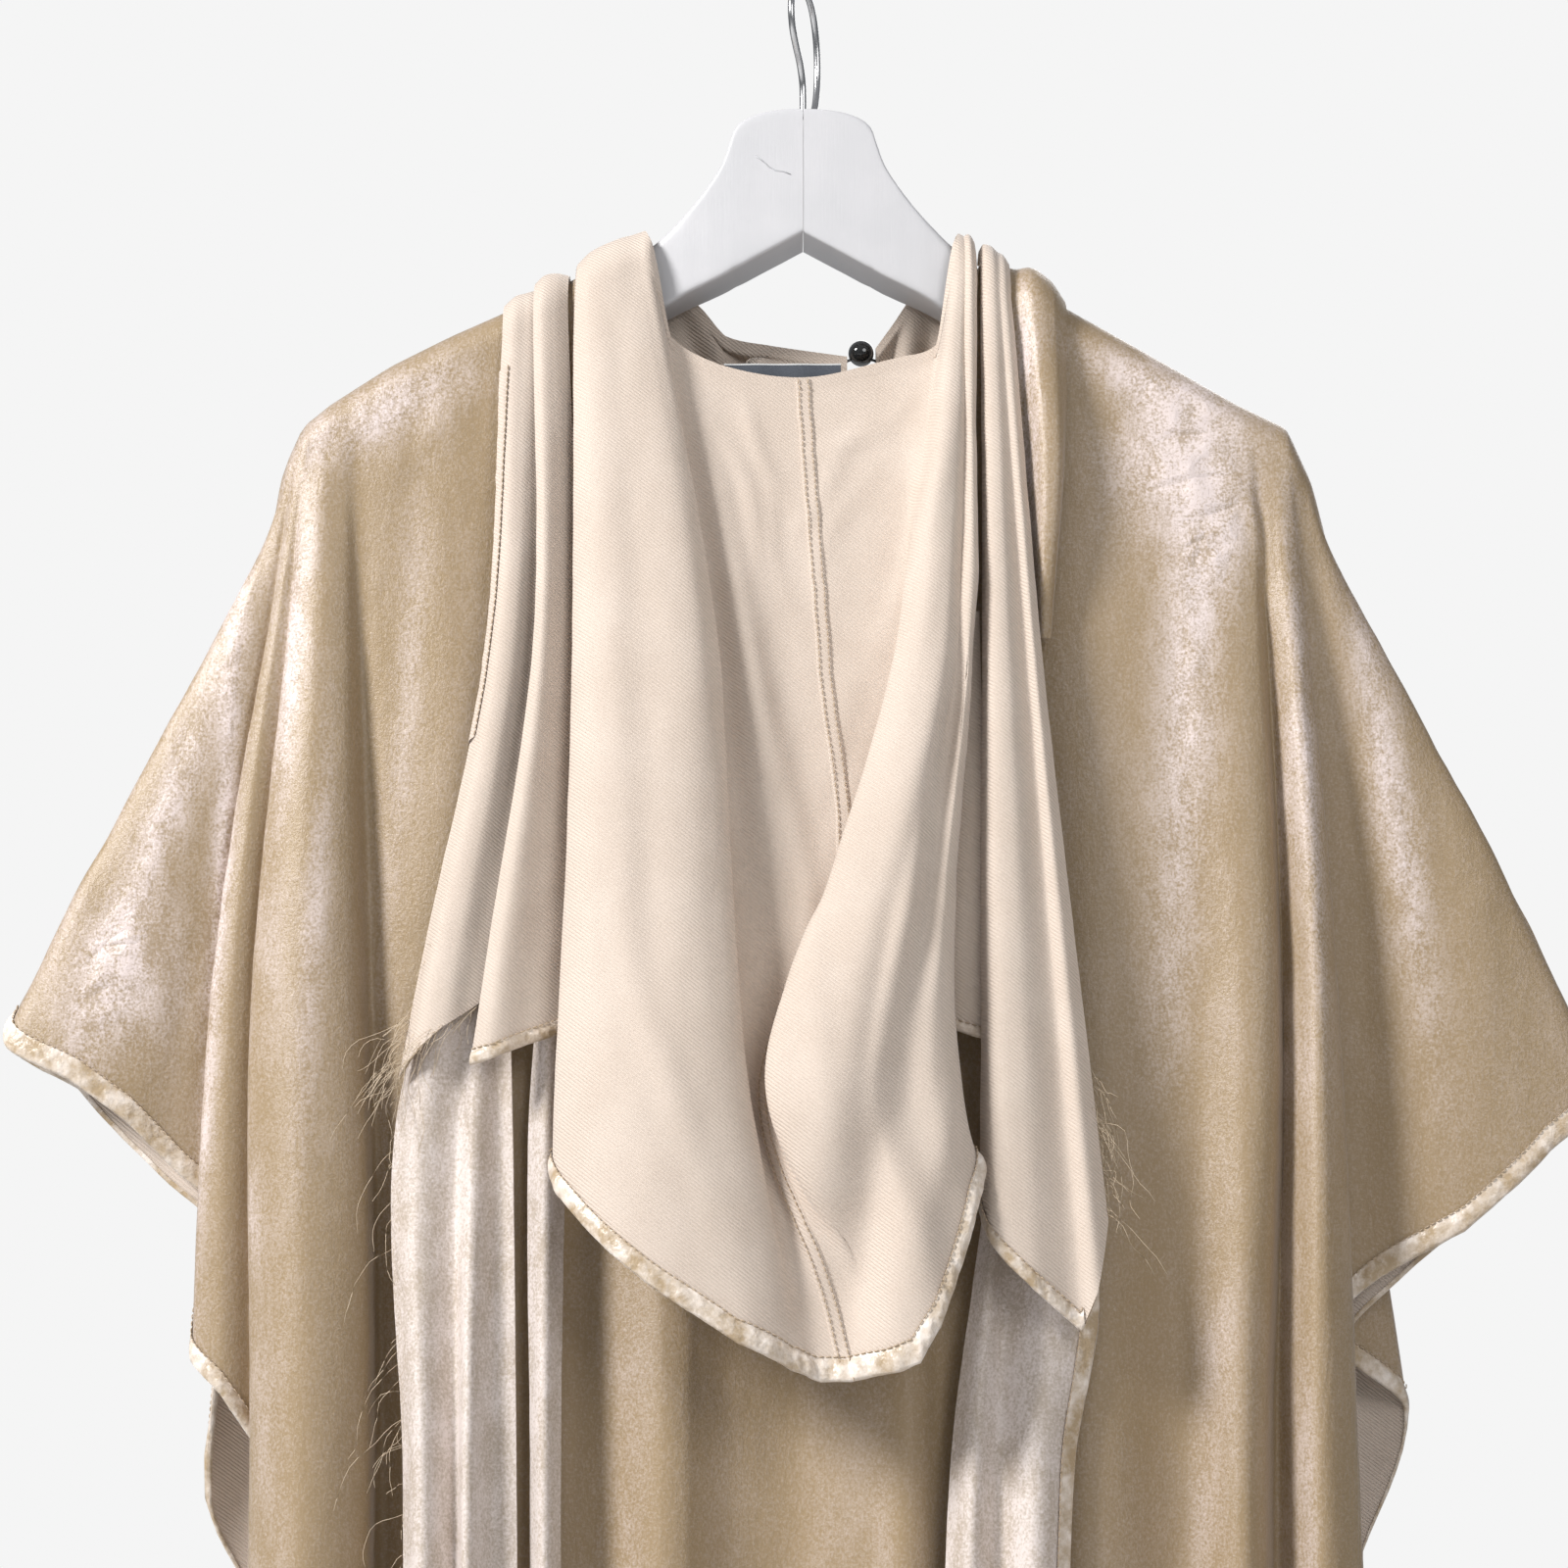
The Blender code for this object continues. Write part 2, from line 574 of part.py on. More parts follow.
def stretch_of(lines, normals, columns, rows):
    """Stretch of a grid between two columns and two rows, drawn in where it was cut."""
    first, last = columns
    top, bottom = rows
    part = [line[top:bottom + 1] for line in lines[first:last + 1]]
    directions = [line[top:bottom + 1] for line in normals[first:last + 1]]
    if first > 0:
        part[0] = drawn_in(part[0], part[1])
    if last < len(lines) - 1:
        part[-1] = drawn_in(part[-1], part[-2])
    for line in part:
        if top > 0:
            line[0] = drawn_in(line[:1], line[1:2])[0]
        if bottom < len(lines[0]) - 1:
            line[-1] = drawn_in(line[-1:], line[-2:-1])[0]
    return part, directions


def build_panels(home, material):
    """Back and two front panels, each in stretches whose inside stays open."""
    for folds, side, yoke, stretches in PANELS:
        lines = cloth_grid(folds, PANEL_LEVELS, PANEL_ROWS, side)
        normals = grid_normals(lines)
        last_row = len(lines[0]) - 1
        whole = (0, len(lines) - 1)
        part, directions = stretch_of(lines, normals, whole, (0, OVER_STEPS))
        add_piece(home, yoke, sheet_solid(part, directions), material)
        for name, first, last in stretches:
            columns = (first * SHEET_PARTS, last * SHEET_PARTS)
            part, directions = stretch_of(lines, normals, columns, (OVER_STEPS, last_row))
            add_piece(home, name, sheet_solid(part, directions), material)


def build_hood(home, material):
    """Hood in two halves joined down the middle, hanging wrong side out."""
    lines = cloth_grid(HOOD_LEFT_FOLDS + HOOD_RIGHT_FOLDS, HOOD_LEVELS, HOOD_ROWS, NEAR, HOOD_PARTS)
    normals = grid_normals(lines)
    seam = len(HOOD_LEFT_FOLDS) * HOOD_PARTS
    across = [(b - a).normalized() * (SEAM / 2.0) for a, b in zip(lines[seam - 1], lines[seam + 1])]
    left_edge = [point - step for point, step in zip(lines[seam], across)]
    right_edge = [point + step for point, step in zip(lines[seam], across)]
    left = lines[:seam] + [left_edge]
    right = [right_edge] + lines[seam + 1:]
    add_piece(home, "hood_left", sheet_solid(left, normals[:seam + 1]), material)
    add_piece(home, "hood_right", sheet_solid(right, normals[seam:]), material)


def build_tails(home, material):
    """Scarf ends that come over the shoulders from the front, wrong side out."""
    for name, folds, levels in (
        ("tail_left_outer", LEFT_OUTER_FOLDS, STRIP_LEVELS),
        ("tail_left_inner", LEFT_INNER_FOLDS, STRIP_LEVELS),
        ("tail_right_outer", RIGHT_OUTER_FOLDS, STRIP_LEVELS),
        ("tail_right_flap", FLAP_FOLDS, FLAP_LEVELS),
    ):
        lines = cloth_grid(folds, levels, STRIP_ROWS, NEAR)
        add_piece(home, name, sheet_solid(lines), material)


def build_lower_tails(home, material):
    """Lower scarf ends and the roll on the right shoulder, pile side out."""
    for name, folds, levels in (
        ("tail_left_lower", LOWER_LEFT_FOLDS, LOWER_LEFT_LEVELS),
        ("tail_left_second", SECOND_LEFT_FOLDS, LOWER_LEFT_LEVELS),
        ("tail_right_lower", LOWER_RIGHT_FOLDS, LOWER_RIGHT_LEVELS),
        ("shoulder_roll", ROLL_FOLDS, ROLL_LEVELS),
    ):
        lines = cloth_grid(folds, levels, STRIP_ROWS, NEAR)
        add_piece(home, name, sheet_solid(lines), material)


def build_collar(home, material):
    """Gathered neck bands on the front panels, one each side of the bead."""
    for name, folds in (("collar_left", COLLAR_LEFT_FOLDS), ("collar_right", COLLAR_RIGHT_FOLDS)):
        lines = cloth_grid(folds, COLLAR_LEVELS, COLLAR_ROWS, FAR)
        add_piece(home, name, sheet_solid(lines), material)


def ring_faces(shape, rings):
    """Close a run of rings into a solid with a flat face at each end."""
    count = len(rings[0])
    for a, b in zip(rings, rings[1:]):
        for k in range(count):
            shape.faces.new((a[k], a[(k + 1) % count], b[(k + 1) % count], b[k]))
    shape.faces.new(rings[0])
    shape.faces.new(rings[-1])


def build_hanger(home, material):
    """Two mirrored wooden halves that meet on a joint in the middle."""
    for name, side in (("hanger_left", -1.0), ("hanger_right", 1.0)):
        shape = bmesh.new()
        rings = []
        for across, top, under, depth, square in HANGER_SECTIONS:
            middle = (top + under) / 2.0
            half = (top - under) / 2.0
            droop = max(across - ARM_START, 0.0) * RIGHT_ARM_DROOP if side > 0 else 0.0
            ring = []
            for k in range(HANGER_SIDES):
                angle = 2.0 * math.pi * (k + 0.5) / HANGER_SIDES
                c = math.cos(angle)
                s = math.sin(angle)
                y = math.copysign(abs(c) ** (2.0 / square), c) * depth
                z = middle - droop + math.copysign(abs(s) ** (2.0 / square), s) * half
                ring.append(shape.verts.new(Vector((side * across, y, z)) * MM))
            rings.append(ring)
        ring_faces(shape, rings)
        add_piece(home, name, shape, material)


def hook_path():
    """Centre line of the hook wire, turned nearly edge-on to the viewer."""
    across = math.cos(HOOK_TURN)
    away = math.sin(HOOK_TURN)
    return [Vector((place * across, place * away, height)) * MM for _bend, place, height in HOOK_BENDS]


def build_hook(home, material):
    """Round steel wire, bent to a hook."""
    path = hook_path()
    curve = bpy.data.curves.new("hook", "CURVE")
    curve.dimensions = "3D"
    curve.bevel_depth = HOOK_WIRE
    curve.bevel_resolution = HOOK_ROUNDNESS
    curve.use_fill_caps = True
    wire = curve.splines.new("POLY")
    wire.points.add(len(path) - 1)
    for knot, place in zip(wire.points, path):
        knot.co = (place.x, place.y, place.z, 1.0)
    curve.materials.append(material)
    home.objects.link(bpy.data.objects.new("hook", curve))


def build_bead(home, material):
    """Round bead that closes the front at the neck."""
    shape = bmesh.new()
    bmesh.ops.create_uvsphere(shape, u_segments=BEAD_SEGMENTS, v_segments=BEAD_RINGS, radius=BEAD_RADIUS)
    bmesh.ops.translate(shape, verts=shape.verts, vec=BEAD_CENTRE)
    add_piece(home, "bead", shape, material)


def build_label(home, material):
    """Blank woven label inside the back of the neck."""
    shape = bmesh.new()
    bmesh.ops.create_cube(shape, size=1.0)
    bmesh.ops.scale(shape, verts=shape.verts, vec=LABEL_SIZE)
    bmesh.ops.translate(shape, verts=shape.verts, vec=LABEL_CENTRE)
    add_piece(home, "label", shape, material)


def main():
    """Build every piece."""
    clear_scene()
    home = home_collection()
    finish = {name: make_material(name) for name in MATERIALS}
    build_panels(home, finish["pile_cloth"])
    build_hood(home, finish["smooth_cloth"])
    build_tails(home, finish["smooth_cloth"])
    build_lower_tails(home, finish["pile_cloth"])
    build_collar(home, finish["smooth_cloth"])
    build_hanger(home, finish["white_paint"])
    build_hook(home, finish["steel"])
    build_bead(home, finish["black_bead"])
    build_label(home, finish["label_cloth"])


main()
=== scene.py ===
"""Looks of the hooded cloak: fine cloth sheets, hems, stitching, loose threads, hanger and light."""
import math
import random

import bmesh
import bpy
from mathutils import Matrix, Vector, noise


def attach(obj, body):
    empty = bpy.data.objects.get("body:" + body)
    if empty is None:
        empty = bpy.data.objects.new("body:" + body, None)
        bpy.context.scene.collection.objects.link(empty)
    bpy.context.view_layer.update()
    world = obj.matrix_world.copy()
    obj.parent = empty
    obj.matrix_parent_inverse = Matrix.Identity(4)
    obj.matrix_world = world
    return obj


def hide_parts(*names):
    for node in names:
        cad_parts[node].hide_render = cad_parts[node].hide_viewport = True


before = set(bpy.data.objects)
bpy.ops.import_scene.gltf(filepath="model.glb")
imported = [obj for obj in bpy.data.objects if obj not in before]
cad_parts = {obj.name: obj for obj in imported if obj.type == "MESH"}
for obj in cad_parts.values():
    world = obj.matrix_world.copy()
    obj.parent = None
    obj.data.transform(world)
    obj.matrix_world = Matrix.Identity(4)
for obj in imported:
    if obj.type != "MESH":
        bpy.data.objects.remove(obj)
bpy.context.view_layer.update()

MM = 0.001

# Cloth thickness in the scene, and half the gap at a seam in millimetres.
CLOTH = 0.0011
HALF_SEAM = 0.15

# Cloth over the hanger's arm: reach from its middle, steps in the turn, extra drop over it.
ARM_REACH = 16.0
OVER_STEPS = 10
OVER_DROP = 6.0
OVER_CLOSE = 0.24
SHORT_STEP = 0.0001

# Side of the hanger on which a sheet hangs, and side of a sheet that has the pile.
NEAR = -1.0
FAR = 1.0

# Height of the hem, how far the folds spread there past the last level, and how much deeper they grow.
HEM = -1360.0
HEM_SPREAD = 0.75
HEM_DEPTH = 1.25

# Levels at which the fold tables give x and y, rows down a sheet and parts between two folds.
PANEL_LEVELS = (-457.0, -675.0)
PANEL_ROWS = 104
PANEL_PARTS = 7
HOOD_LEVELS = (-322.0, -428.0, -514.0, -588.0)
HOOD_ROWS = 110
HOOD_PARTS = 12
STRIP_LEVELS = (-322.0, -457.0)
STRIP_ROWS = 80
STRIP_PARTS = 10

# Ridge of the shoulders and overarms: distance from the middle, height.
RIDGE = (
    (-240, -238),
    (-236, -224),
    (-228, -210),
    (-215, -199),
    (-188, -181),
    (-161, -167),
    (-137, -156),
    (-71, -123),
    (69, -124),
    (148, -170),
    (170, -183),
    (197, -199),
    (219, -210),
    (230, -229),
    (237, -247),
)

# Fold, x, y and z at the top, start of the turn over the shoulder in degrees,
# x and y at the elbow, x and y at the hip, height of the lower edge.
BACK_FOLDS = (
    ("left overarm", -240, 0, None, 0, -340, 0, -436, 0, -482),
    ("left wing edge", -239, 4, None, 0, -338, 5, -426, 5, -490),
    ("left wing outer", -237, 8, None, 0, -307, 11, -373, 12, -506),
    ("left wing middle", -235, 10, None, 0, -284, 10, -329, 12, -523),
    ("left wing inner", -233, 12, None, 0, -268, 6, -298, 6, -541),
    ("left wing tuck", -231, 13, None, 0, -257, 3, -259, 3, -563),
    ("first fold edge", -229, 14, None, 0, -260, 13, -266, 15, -627),
    ("first fold", -227, 15, None, 0, -251, 19, -252, 22, -642),
    ("first fold valley", -225, 16, None, 0, -239, 15, -237, 16, -667),
    ("second fold edge", -222, 16, None, 0, -241, 24, -237, 30, -800),
    ("second fold", -216, 16, None, 0, -218, 38, -212, 50, -1100),
    ("second fold inner edge", -209, 16, None, 0, -197, 31, -188, 38, HEM),
    ("second fold tuck", -203, 16, None, 0, -191, 17, -183, 17, HEM),
    ("left body valley", -195, 16, None, 0, -180, 20, -170, 22, HEM),
    ("left body ridge", -165, 16, None, 0, -146, 27, -138, 36, HEM),
    ("left hood valley", -120, 16, None, 0, -99, 20, -93, 26, HEM),
    ("left neck point", -82, 16, None, 0, -64, 25, -62, 44, HEM),
    ("left neck side", -77, 16, None, 90, -54, 25, -52, 43, HEM),
    ("left neck corner", -69, 16, -174, 90, -46, 23, -44, 38, HEM),
    ("left neck", -44, 16, -188, 90, -30, 21, -30, 30, HEM),
    ("middle", 0, 16, -194, 90, -2, 20, -6, 26, HEM),
    ("right neck", 42, 16, -187, 90, 26, 22, 26, 36, HEM),
    ("right neck corner", 70, 16, -176, 90, 42, 24, 42, 42, HEM),
    ("right neck side", 78, 16, None, 90, 50, 24, 50, 39, HEM),
    ("right neck point", 83, 16, None, 0, 59, 22, 58, 33, HEM),
    ("right hood valley", 98, 16, None, 0, 80, 20, 78, 26, HEM),
    ("right body ridge", 130, 16, None, 0, 128, 28, 124, 40, HEM),
    ("right body valley", 165, 16, None, 0, 170, 23, 164, 24, HEM),
    ("right body second ridge", 190, 16, None, 0, 194, 32, 186, 42, HEM),
    ("right body edge", 200, 16, None, 0, 205, 28, 196, 36, HEM),
    ("right tuck", 204.5, 16, None, 0, 211, 14, 204, 17, HEM),
    ("right strip edge", 209, 16, None, 0, 217, 24, 212, 31, HEM),
    ("right strip", 213, 16, None, 0, 224, 31, 220, 39, -1200),
    ("right strip outer edge", 217, 16, None, 0, 234, 20, 238, 24, -800),
    ("right wing tuck", 221, 15, None, 0, 231, 8, 234, 8, -610),
    ("right wing inner", 225, 13, None, 0, 248, 5, 247, 5, -595),
    ("right wing middle", 229, 11, None, 0, 275, 11, 296, 12, -572),
    ("right wing outer", 232, 8, None, 0, 305, 11, 356, 12, -537),
    ("right wing edge", 235, 4, None, 0, 330, 5, 408, 5, -512),
    ("right overarm", 237, 0, None, 0, 332, 0, 418, 0, -488),
)

FRONT_LEFT_FOLDS = (
    ("left overarm", -240, 0, None, 0, -340, 0, -436, 0, -482),
    ("wing edge", -239, 4, None, 0, -338, 5, -426, 5, -490),
    ("wing outer", -237, 8, None, 0, -307, 12, -373, 14, -508),
    ("wing inner", -234, 12, None, 0, -272, 7, -300, 7, -547),
    ("wing tuck", -231, 14, None, 0, -253, 4, -255, 4, -575),
    ("side fold edge", -227, 16, None, 0, -255, 15, -262, 20, -690),
    ("side fold", -223, 16, None, 0, -238, 25, -240, 32, -740),
    ("side fold tuck", -219, 16, None, 0, -226, 13, -224, 15, -850),
    ("shoulder fold", -212, 16, None, 0, -214, 30, -214, 44, -1150),
    ("shoulder fold inner", -203, 16, None, 0, -194, 21, -190, 26, HEM),
    ("body valley", -180, 16, None, 0, -165, 18, -160, 21, HEM),
    ("body ridge", -140, 16, None, 0, -125, 30, -118, 44, HEM),
    ("chest valley", -105, 16, None, 0, -90, 20, -85, 25, HEM),
    ("neck point", -82, 16, None, 0, -62, 27, -56, 42, HEM),
    ("neck side", -77, 16, None, 90, -52, 25, -48, 38, HEM),
    ("neck corner", -69, 16, -174, 90, -42, 21, -38, 32, HEM),
    ("neck", -30, 16, -180, 90, -14, 22, -12, 30, HEM),
    ("front edge", 24, 16, -182, 90, 20, 25, 18, 38, HEM),
)

FRONT_RIGHT_FOLDS = (
    ("front edge", 29, 16, -182, 90, 25, 25, 23, 36, HEM),
    ("neck", 48, 16, -178, 90, 40, 21, 38, 28, HEM),
    ("neck corner", 70, 16, -176, 90, 56, 23, 54, 34, HEM),
    ("neck side", 78, 16, None, 90, 62, 25, 59, 39, HEM),
    ("neck point", 83, 16, None, 0, 69, 26, 65, 42, HEM),
    ("chest valley", 96, 16, None, 0, 92, 20, 90, 25, HEM),
    ("body ridge", 135, 16, None, 0, 130, 31, 124, 45, HEM),
    ("body valley", 170, 16, None, 0, 168, 19, 160, 22, HEM),
    ("body second ridge", 192, 16, None, 0, 196, 30, 186, 42, HEM),
    ("shoulder tuck", 205, 16, None, 0, 212, 13, 206, 15, HEM),
    ("side fold", 211, 16, None, 0, 222, 27, 219, 36, -1150),
    ("side flare tuck", 215, 16, None, 0, 231, 27, 247, 37, -712),
    ("side flare", 219, 16, None, 0, 243, 23, 270, 29, -650),
    ("wing tuck", 223, 14, None, 0, 235, 11, 238, 12, -622),
    ("wing inner", 227, 12, None, 0, 256, 5, 262, 5, -594),
    ("wing outer", 232, 8, None, 0, 305, 12, 356, 14, -538),
    ("wing edge", 235, 4, None, 0, 330, 5, 408, 5, -511),
    ("right overarm", 237, 0, None, 0, 332, 0, 418, 0, -488),
)

# Fold, x, y and z at the top, start of the turn, then x and y at each of the four hood levels
# and the height of the lower edge.
HOOD_LEFT_FOLDS = (
    ("left back edge", -94, 19, None, -40, -94, 36, -93, 42, -93, 47, -92, 48, -544),
    ("left edge", -103, 22, None, -40, -102, 44, -103, 52, -106, 60, -107, 62, -550),
    ("lobe outer", -97, 25, None, -40, -92, 54, -92, 66, -92, 76, -92, 82, -573),
    ("lobe", -86, 25, None, -40, -69, 57, -69, 72, -68, 86, -66, 92, -596),
    ("lobe inner", -75, 23, None, -10, -46, 55, -44, 70, -38, 84, -31, 92, -621),
    ("lobe edge", -70, 22.5, None, 50, -36, 47, -31, 60, -24, 72, -12, 82, -632),
    ("lobe tuck", -60, 18.2, -171, 90, -42, 38, -36, 47, -27, 60, -9, 76, -634),
    ("hollow", -38, 18, -184, 90, -20, 33, -16, 42, -21, 55, -4, 73, -636),
)

HOOD_RIGHT_FOLDS = (
    ("centre seam", 0, 18, -190, 90, 9, 32, 16, 41, -17, 60, 4, 76, -636),
    ("hollow tuck", 42, 18, -181, 90, 46, 36, 29, 45, -10, 66, 11, 79, -635),
    ("lobe edge", 60, 18.2, -175, 90, 40, 48, 10, 64, -16, 76, 17, 83, -633),
    ("lobe inner", 69, 22.5, None, 50, 50, 57, 30, 76, 7, 88, 33, 88, -629),
    ("lobe", 72, 23, None, 0, 60, 56, 44, 76, 29, 90, 49, 88, -614),
    ("lobe valley", 73.5, 23, None, 0, 67, 49, 54, 66, 43, 82, 63, 80, -592),
    ("lobe outer", 75.5, 25, None, 0, 72, 52, 61, 66, 56, 78, 78, 70, -568),
    ("right edge", 77.6, 23.4, None, 0, 74, 44, 66, 54, 66, 66, 88, 60, -549),
    ("right back edge", 78.2, 20.2, None, 0, 67, 37, 59, 43, 59, 50, 80, 49, -545),
)

# Fold, x, y and z at the top, start of the turn, x and y at the breast, x and y at the elbow
# and the height of the lower edge.
LEFT_OUTER_FOLDS = (
    ("outer edge", -136, 19.2, None, -30, -141, 34, -166, 38, -508),
    ("outer", -131, 21.1, None, -30, -135, 41, -160, 47, -498),
    ("ridge", -126, 20.1, None, -30, -129, 41, -151, 49, -487),
    ("inner", -120, 19.2, None, -30, -121, 35, -141, 45, -479),
    ("hidden edge", -114, 19.2, None, -30, -113, 33, -131, 43, -470),
)

LEFT_INNER_FOLDS = (
    ("outer edge", -122, 22.5, None, -30, -119, 44, -137, 53, -503),
    ("outer", -118, 24.2, None, -30, -115, 47, -130, 56, -501),
    ("middle", -113, 22.7, None, -30, -108, 41, -117, 49, -494),
    ("hidden edge", -107, 18.7, None, -30, -100, 32, -101, 40, -487),
)

RIGHT_OUTER_FOLDS = (
    ("inner edge", 81, 20.8, None, -30, 79, 37, 77, 45, -565),
    ("inner", 82.5, 24.3, None, -30, 82, 46, 81, 56, -581),
    ("middle", 85.5, 25.3, None, -30, 89, 47, 92, 57, -597),
    ("valley", 88.5, 24.3, None, -30, 97, 41, 106, 50, -616),
    ("outer", 91, 24.3, None, -30, 101, 44, 112, 53, -600),
    ("outer edge", 93.5, 22.0, None, -30, 105, 39, 118, 47, -570),
)

ROLL_LEVELS = (-230.0, -300.0)
ROLL_FOLDS = (
    ("inner edge", 91, 19.2, None, -30, 96, 24, 97, 27, -312),
    ("under", 97, 21.1, None, -30, 100, 25, 102, 29, -312),
    ("crown", 104, 25.6, None, -30, 107, 36, 106, 34, -313),
    ("outer", 113, 24.6, None, -30, 114, 36, 109.5, 33, -313),
    ("outer edge", 119, 19.2, None, -30, 116.5, 28, 110.5, 28, -310),
)

FLAP_LEVELS = (-380.0, -457.0)
FLAP_FOLDS = (
    ("inner edge", 66, 28, -300, 90, 62, 34, 60, 38, -484),
    ("middle", 72, 29, -300, 90, 70, 37, 69, 41, -488),
    ("outer edge", 78, 29, -300, 90, 79, 39.1, 81, 41.4, -492),
)

# Lower ends of the scarf, pile side out: as the strips above, with their own levels.
LOWER_LEFT_LEVELS = (-528.0, -675.0, -950.0)
LOWER_LEFT_FOLDS = (
    ("outer edge", -157, 38, -440, 90, -177, 34, -170, 43, -164, 50, -985),
    ("outer ridge", -150, 46.0, -440, 90, -165, 42, -161, 56, -155, 62, -980),
    ("valley", -144, 42, -440, 90, -150, 37, -148, 46, -143, 53, -968),
    ("inner ridge", -138, 35, -440, 90, -142, 42, -142, 58, -136, 65, -950),
    ("inner valley", -134, 34, -440, 90, -132, 36, -132, 46, -127, 53, -940),
    ("inner edge", -129, 33, -440, 90, -126, 37, -122, 46, -117, 55, -932),
)
SECOND_LEFT_FOLDS = (
    ("outer edge", -116, 34, -470, 90, -119, 36, -116, 42, -112, 48, -890),
    ("ridge", -110, 43, -470, 90, -111, 44, -110, 50, -106, 57, -895),
    ("inner edge", -103, 34, -470, 90, -103, 37, -104, 43, -99, 50, -900),
)
LOWER_RIGHT_LEVELS = (-600.0, -675.0, -950.0)
LOWER_RIGHT_FOLDS = (
    ("inner edge", 84, 36, -520, 90, 72, 40, 62, 44, 57, 52, -960),
    ("inner ridge", 87, 42, -520, 90, 78, 47, 71, 56, 67, 64, -962),
    ("valley", 91, 41, -520, 90, 86, 42, 82, 48, 79, 56, -965),
    ("ridge", 104, 54.6, -520, 90, 104, 50.5, 97, 58, 95, 66, -972),
    ("outer edge", 110, 37, -520, 90, 125, 43, 113, 47, 111, 56, -980),
)

COLLAR_LEVELS = (-170.0, -186.0)
COLLAR_ROWS = 16
COLLAR_LEFT_FOLDS = (
    ("shoulder", -88, 19, None, 0, -84, 22, -82, 24, -200),
    ("outer pleat", -78, 20, None, 0, -72, 27, -70, 29, -200),
    ("outer tuck", -69, 19, None, 40, -60, 21, -58, 23, -198),
    ("middle pleat", -58, 19, -136, 90, -50, 25, -48, 27, -196),
    ("middle tuck", -46, 19, -148, 90, -39, 20, -37, 21, -195),
    ("inner pleat", -36, 19, -160, 90, -29, 24, -28, 25, -194),
    ("band", -14, 18.6, -165, 90, -13, 20, -13, 20, -193),
    ("band end", 20.4, 18.6, -170, 90, 20.4, 19, 20.4, 19, -192),
)
COLLAR_RIGHT_FOLDS = (
    ("band end", 33.6, 18.6, -166, 90, 34, 19, 34, 19, -192),
    ("inner pleat", 42, 19, -154, 90, 40, 23, 40, 25, -193),
    ("tuck", 50, 19, -142, 90, 48, 20, 47, 21, -194),
    ("middle pleat", 59, 19.5, -134, 85, 59, 25, 57, 27, -196),
    ("outer tuck", 69, 19.5, None, 30, 68, 21, 67, 22, -198),
    ("shoulder", 76.5, 19, None, 0, 76, 23, 75, 25, -200),
)

# Half of the hanger: distance from the middle, top, underside, half depth, squareness.
HANGER_SECTIONS = (
    (0.15, -62, -121, 16.5, 24.0),
    (10, -62.4, -126.5, 16.5, 24.0),
    (20, -64.2, -132, 16.3, 24.0),
    (27, -67.2, -136, 16.2, 22.0),
    (31, -71, -138, 16.1, 20.0),
    (33.5, -78, -139.5, 16.0, 20.0),
    (37, -88, -141.5, 15.8, 20.0),
    (43, -98, -144.5, 15.5, 18.0),
    (54, -112, -150, 14.6, 13.0),
    (65, -122.4, -156.5, 13.2, 7.0),
    (80, -132, -163, 12.4, 2.0),
    (137, -157.7, -189, 12.8, 2.0),
    (188, -184.6, -214, 12.8, 2.0),
    (212, -200.5, -228, 12.5, 2.2),
    (219, -207, -227, 10.0, 2.2),
    (222, -212, -224, 6.0, 2.2),
)

# The right arm droops a little from a place on it. Points round each section, and steps between two.
RIGHT_ARM_DROOP = 0.1
ARM_START = 60.0
HANGER_ROUNDNESS = 64
HANGER_STEPS = 5

# Hook: radius of its wire, its turn from the hanger's plane, and steps between two bends.
HOOK_WIRE = 0.0016
HOOK_TURN = math.radians(74.0)
HOOK_STEPS = 6

# Bend, distance from the shaft in the hook's own plane, height.
HOOK_BENDS = (
    ("foot", 0, -61.7),
    ("shaft", 0, -50),
    ("neck", -1, -44),
    ("neck bend", -5, -37),
    ("near low", -12, -30.5),
    ("near side", -17.5, -24),
    ("near", -19.8, -16),
    ("near shoulder", -18.2, -8),
    ("near top", -13.5, -2),
    ("near crown", -7, 0.8),
    ("crown", 0, 1.6),
    ("far crown", 7, 1),
    ("far top", 14, -2),
    ("far shoulder", 19.5, -8),
    ("far", 23, -16),
    ("far side", 24.8, -26),
    ("far low", 24.5, -36),
    ("far bend", 22, -46),
    ("far curl", 18, -53.5),
    ("tip", 14.5, -57.8),
)

# Bead and label in metres, by the middle of each.
BEAD_CENTRE = (0.027, 0.020, -0.168)
BEAD_RADIUS = 0.006

LABEL_CENTRE = (-0.0095, -0.0146, -0.193)
LABEL_SIZE = (0.053, 0.0006, 0.020)

# Light creases pressed into a sheet: across, height, half length, half width, lean, depth.
BACK_CREASES = (
    ("right shoulder", 158, -222, 26, 2.4, -38, 1.7),
    ("right shoulder second", 172, -236, 22, 2.0, -52, 1.5),
    ("right shoulder third", 150, -245, 20, 2.0, -30, 1.2),
    ("right shoulder fourth", 184, -250, 26, 2.2, -60, 1.6),
    ("right shoulder fifth", 165, -262, 18, 2.0, -20, 1.3),
    ("right arm", 200, -262, 34, 2.6, -70, 1.4),
    ("right breast", 168, -300, 30, 2.4, -75, 1.3),
    ("right breast second", 152, -318, 22, 2.2, -48, 1.0),
    ("left shoulder", -196, -214, 22, 3.0, 45, 0.8),
    ("left shoulder second", -176, -226, 20, 2.6, 60, 0.7),
    ("left shoulder third", -160, -204, 16, 2.4, 30, 0.6),
    ("right side", 176, -360, 34, 3.4, -82, 0.8),
    ("right waist", 160, -420, 40, 4.0, -86, 0.7),
)

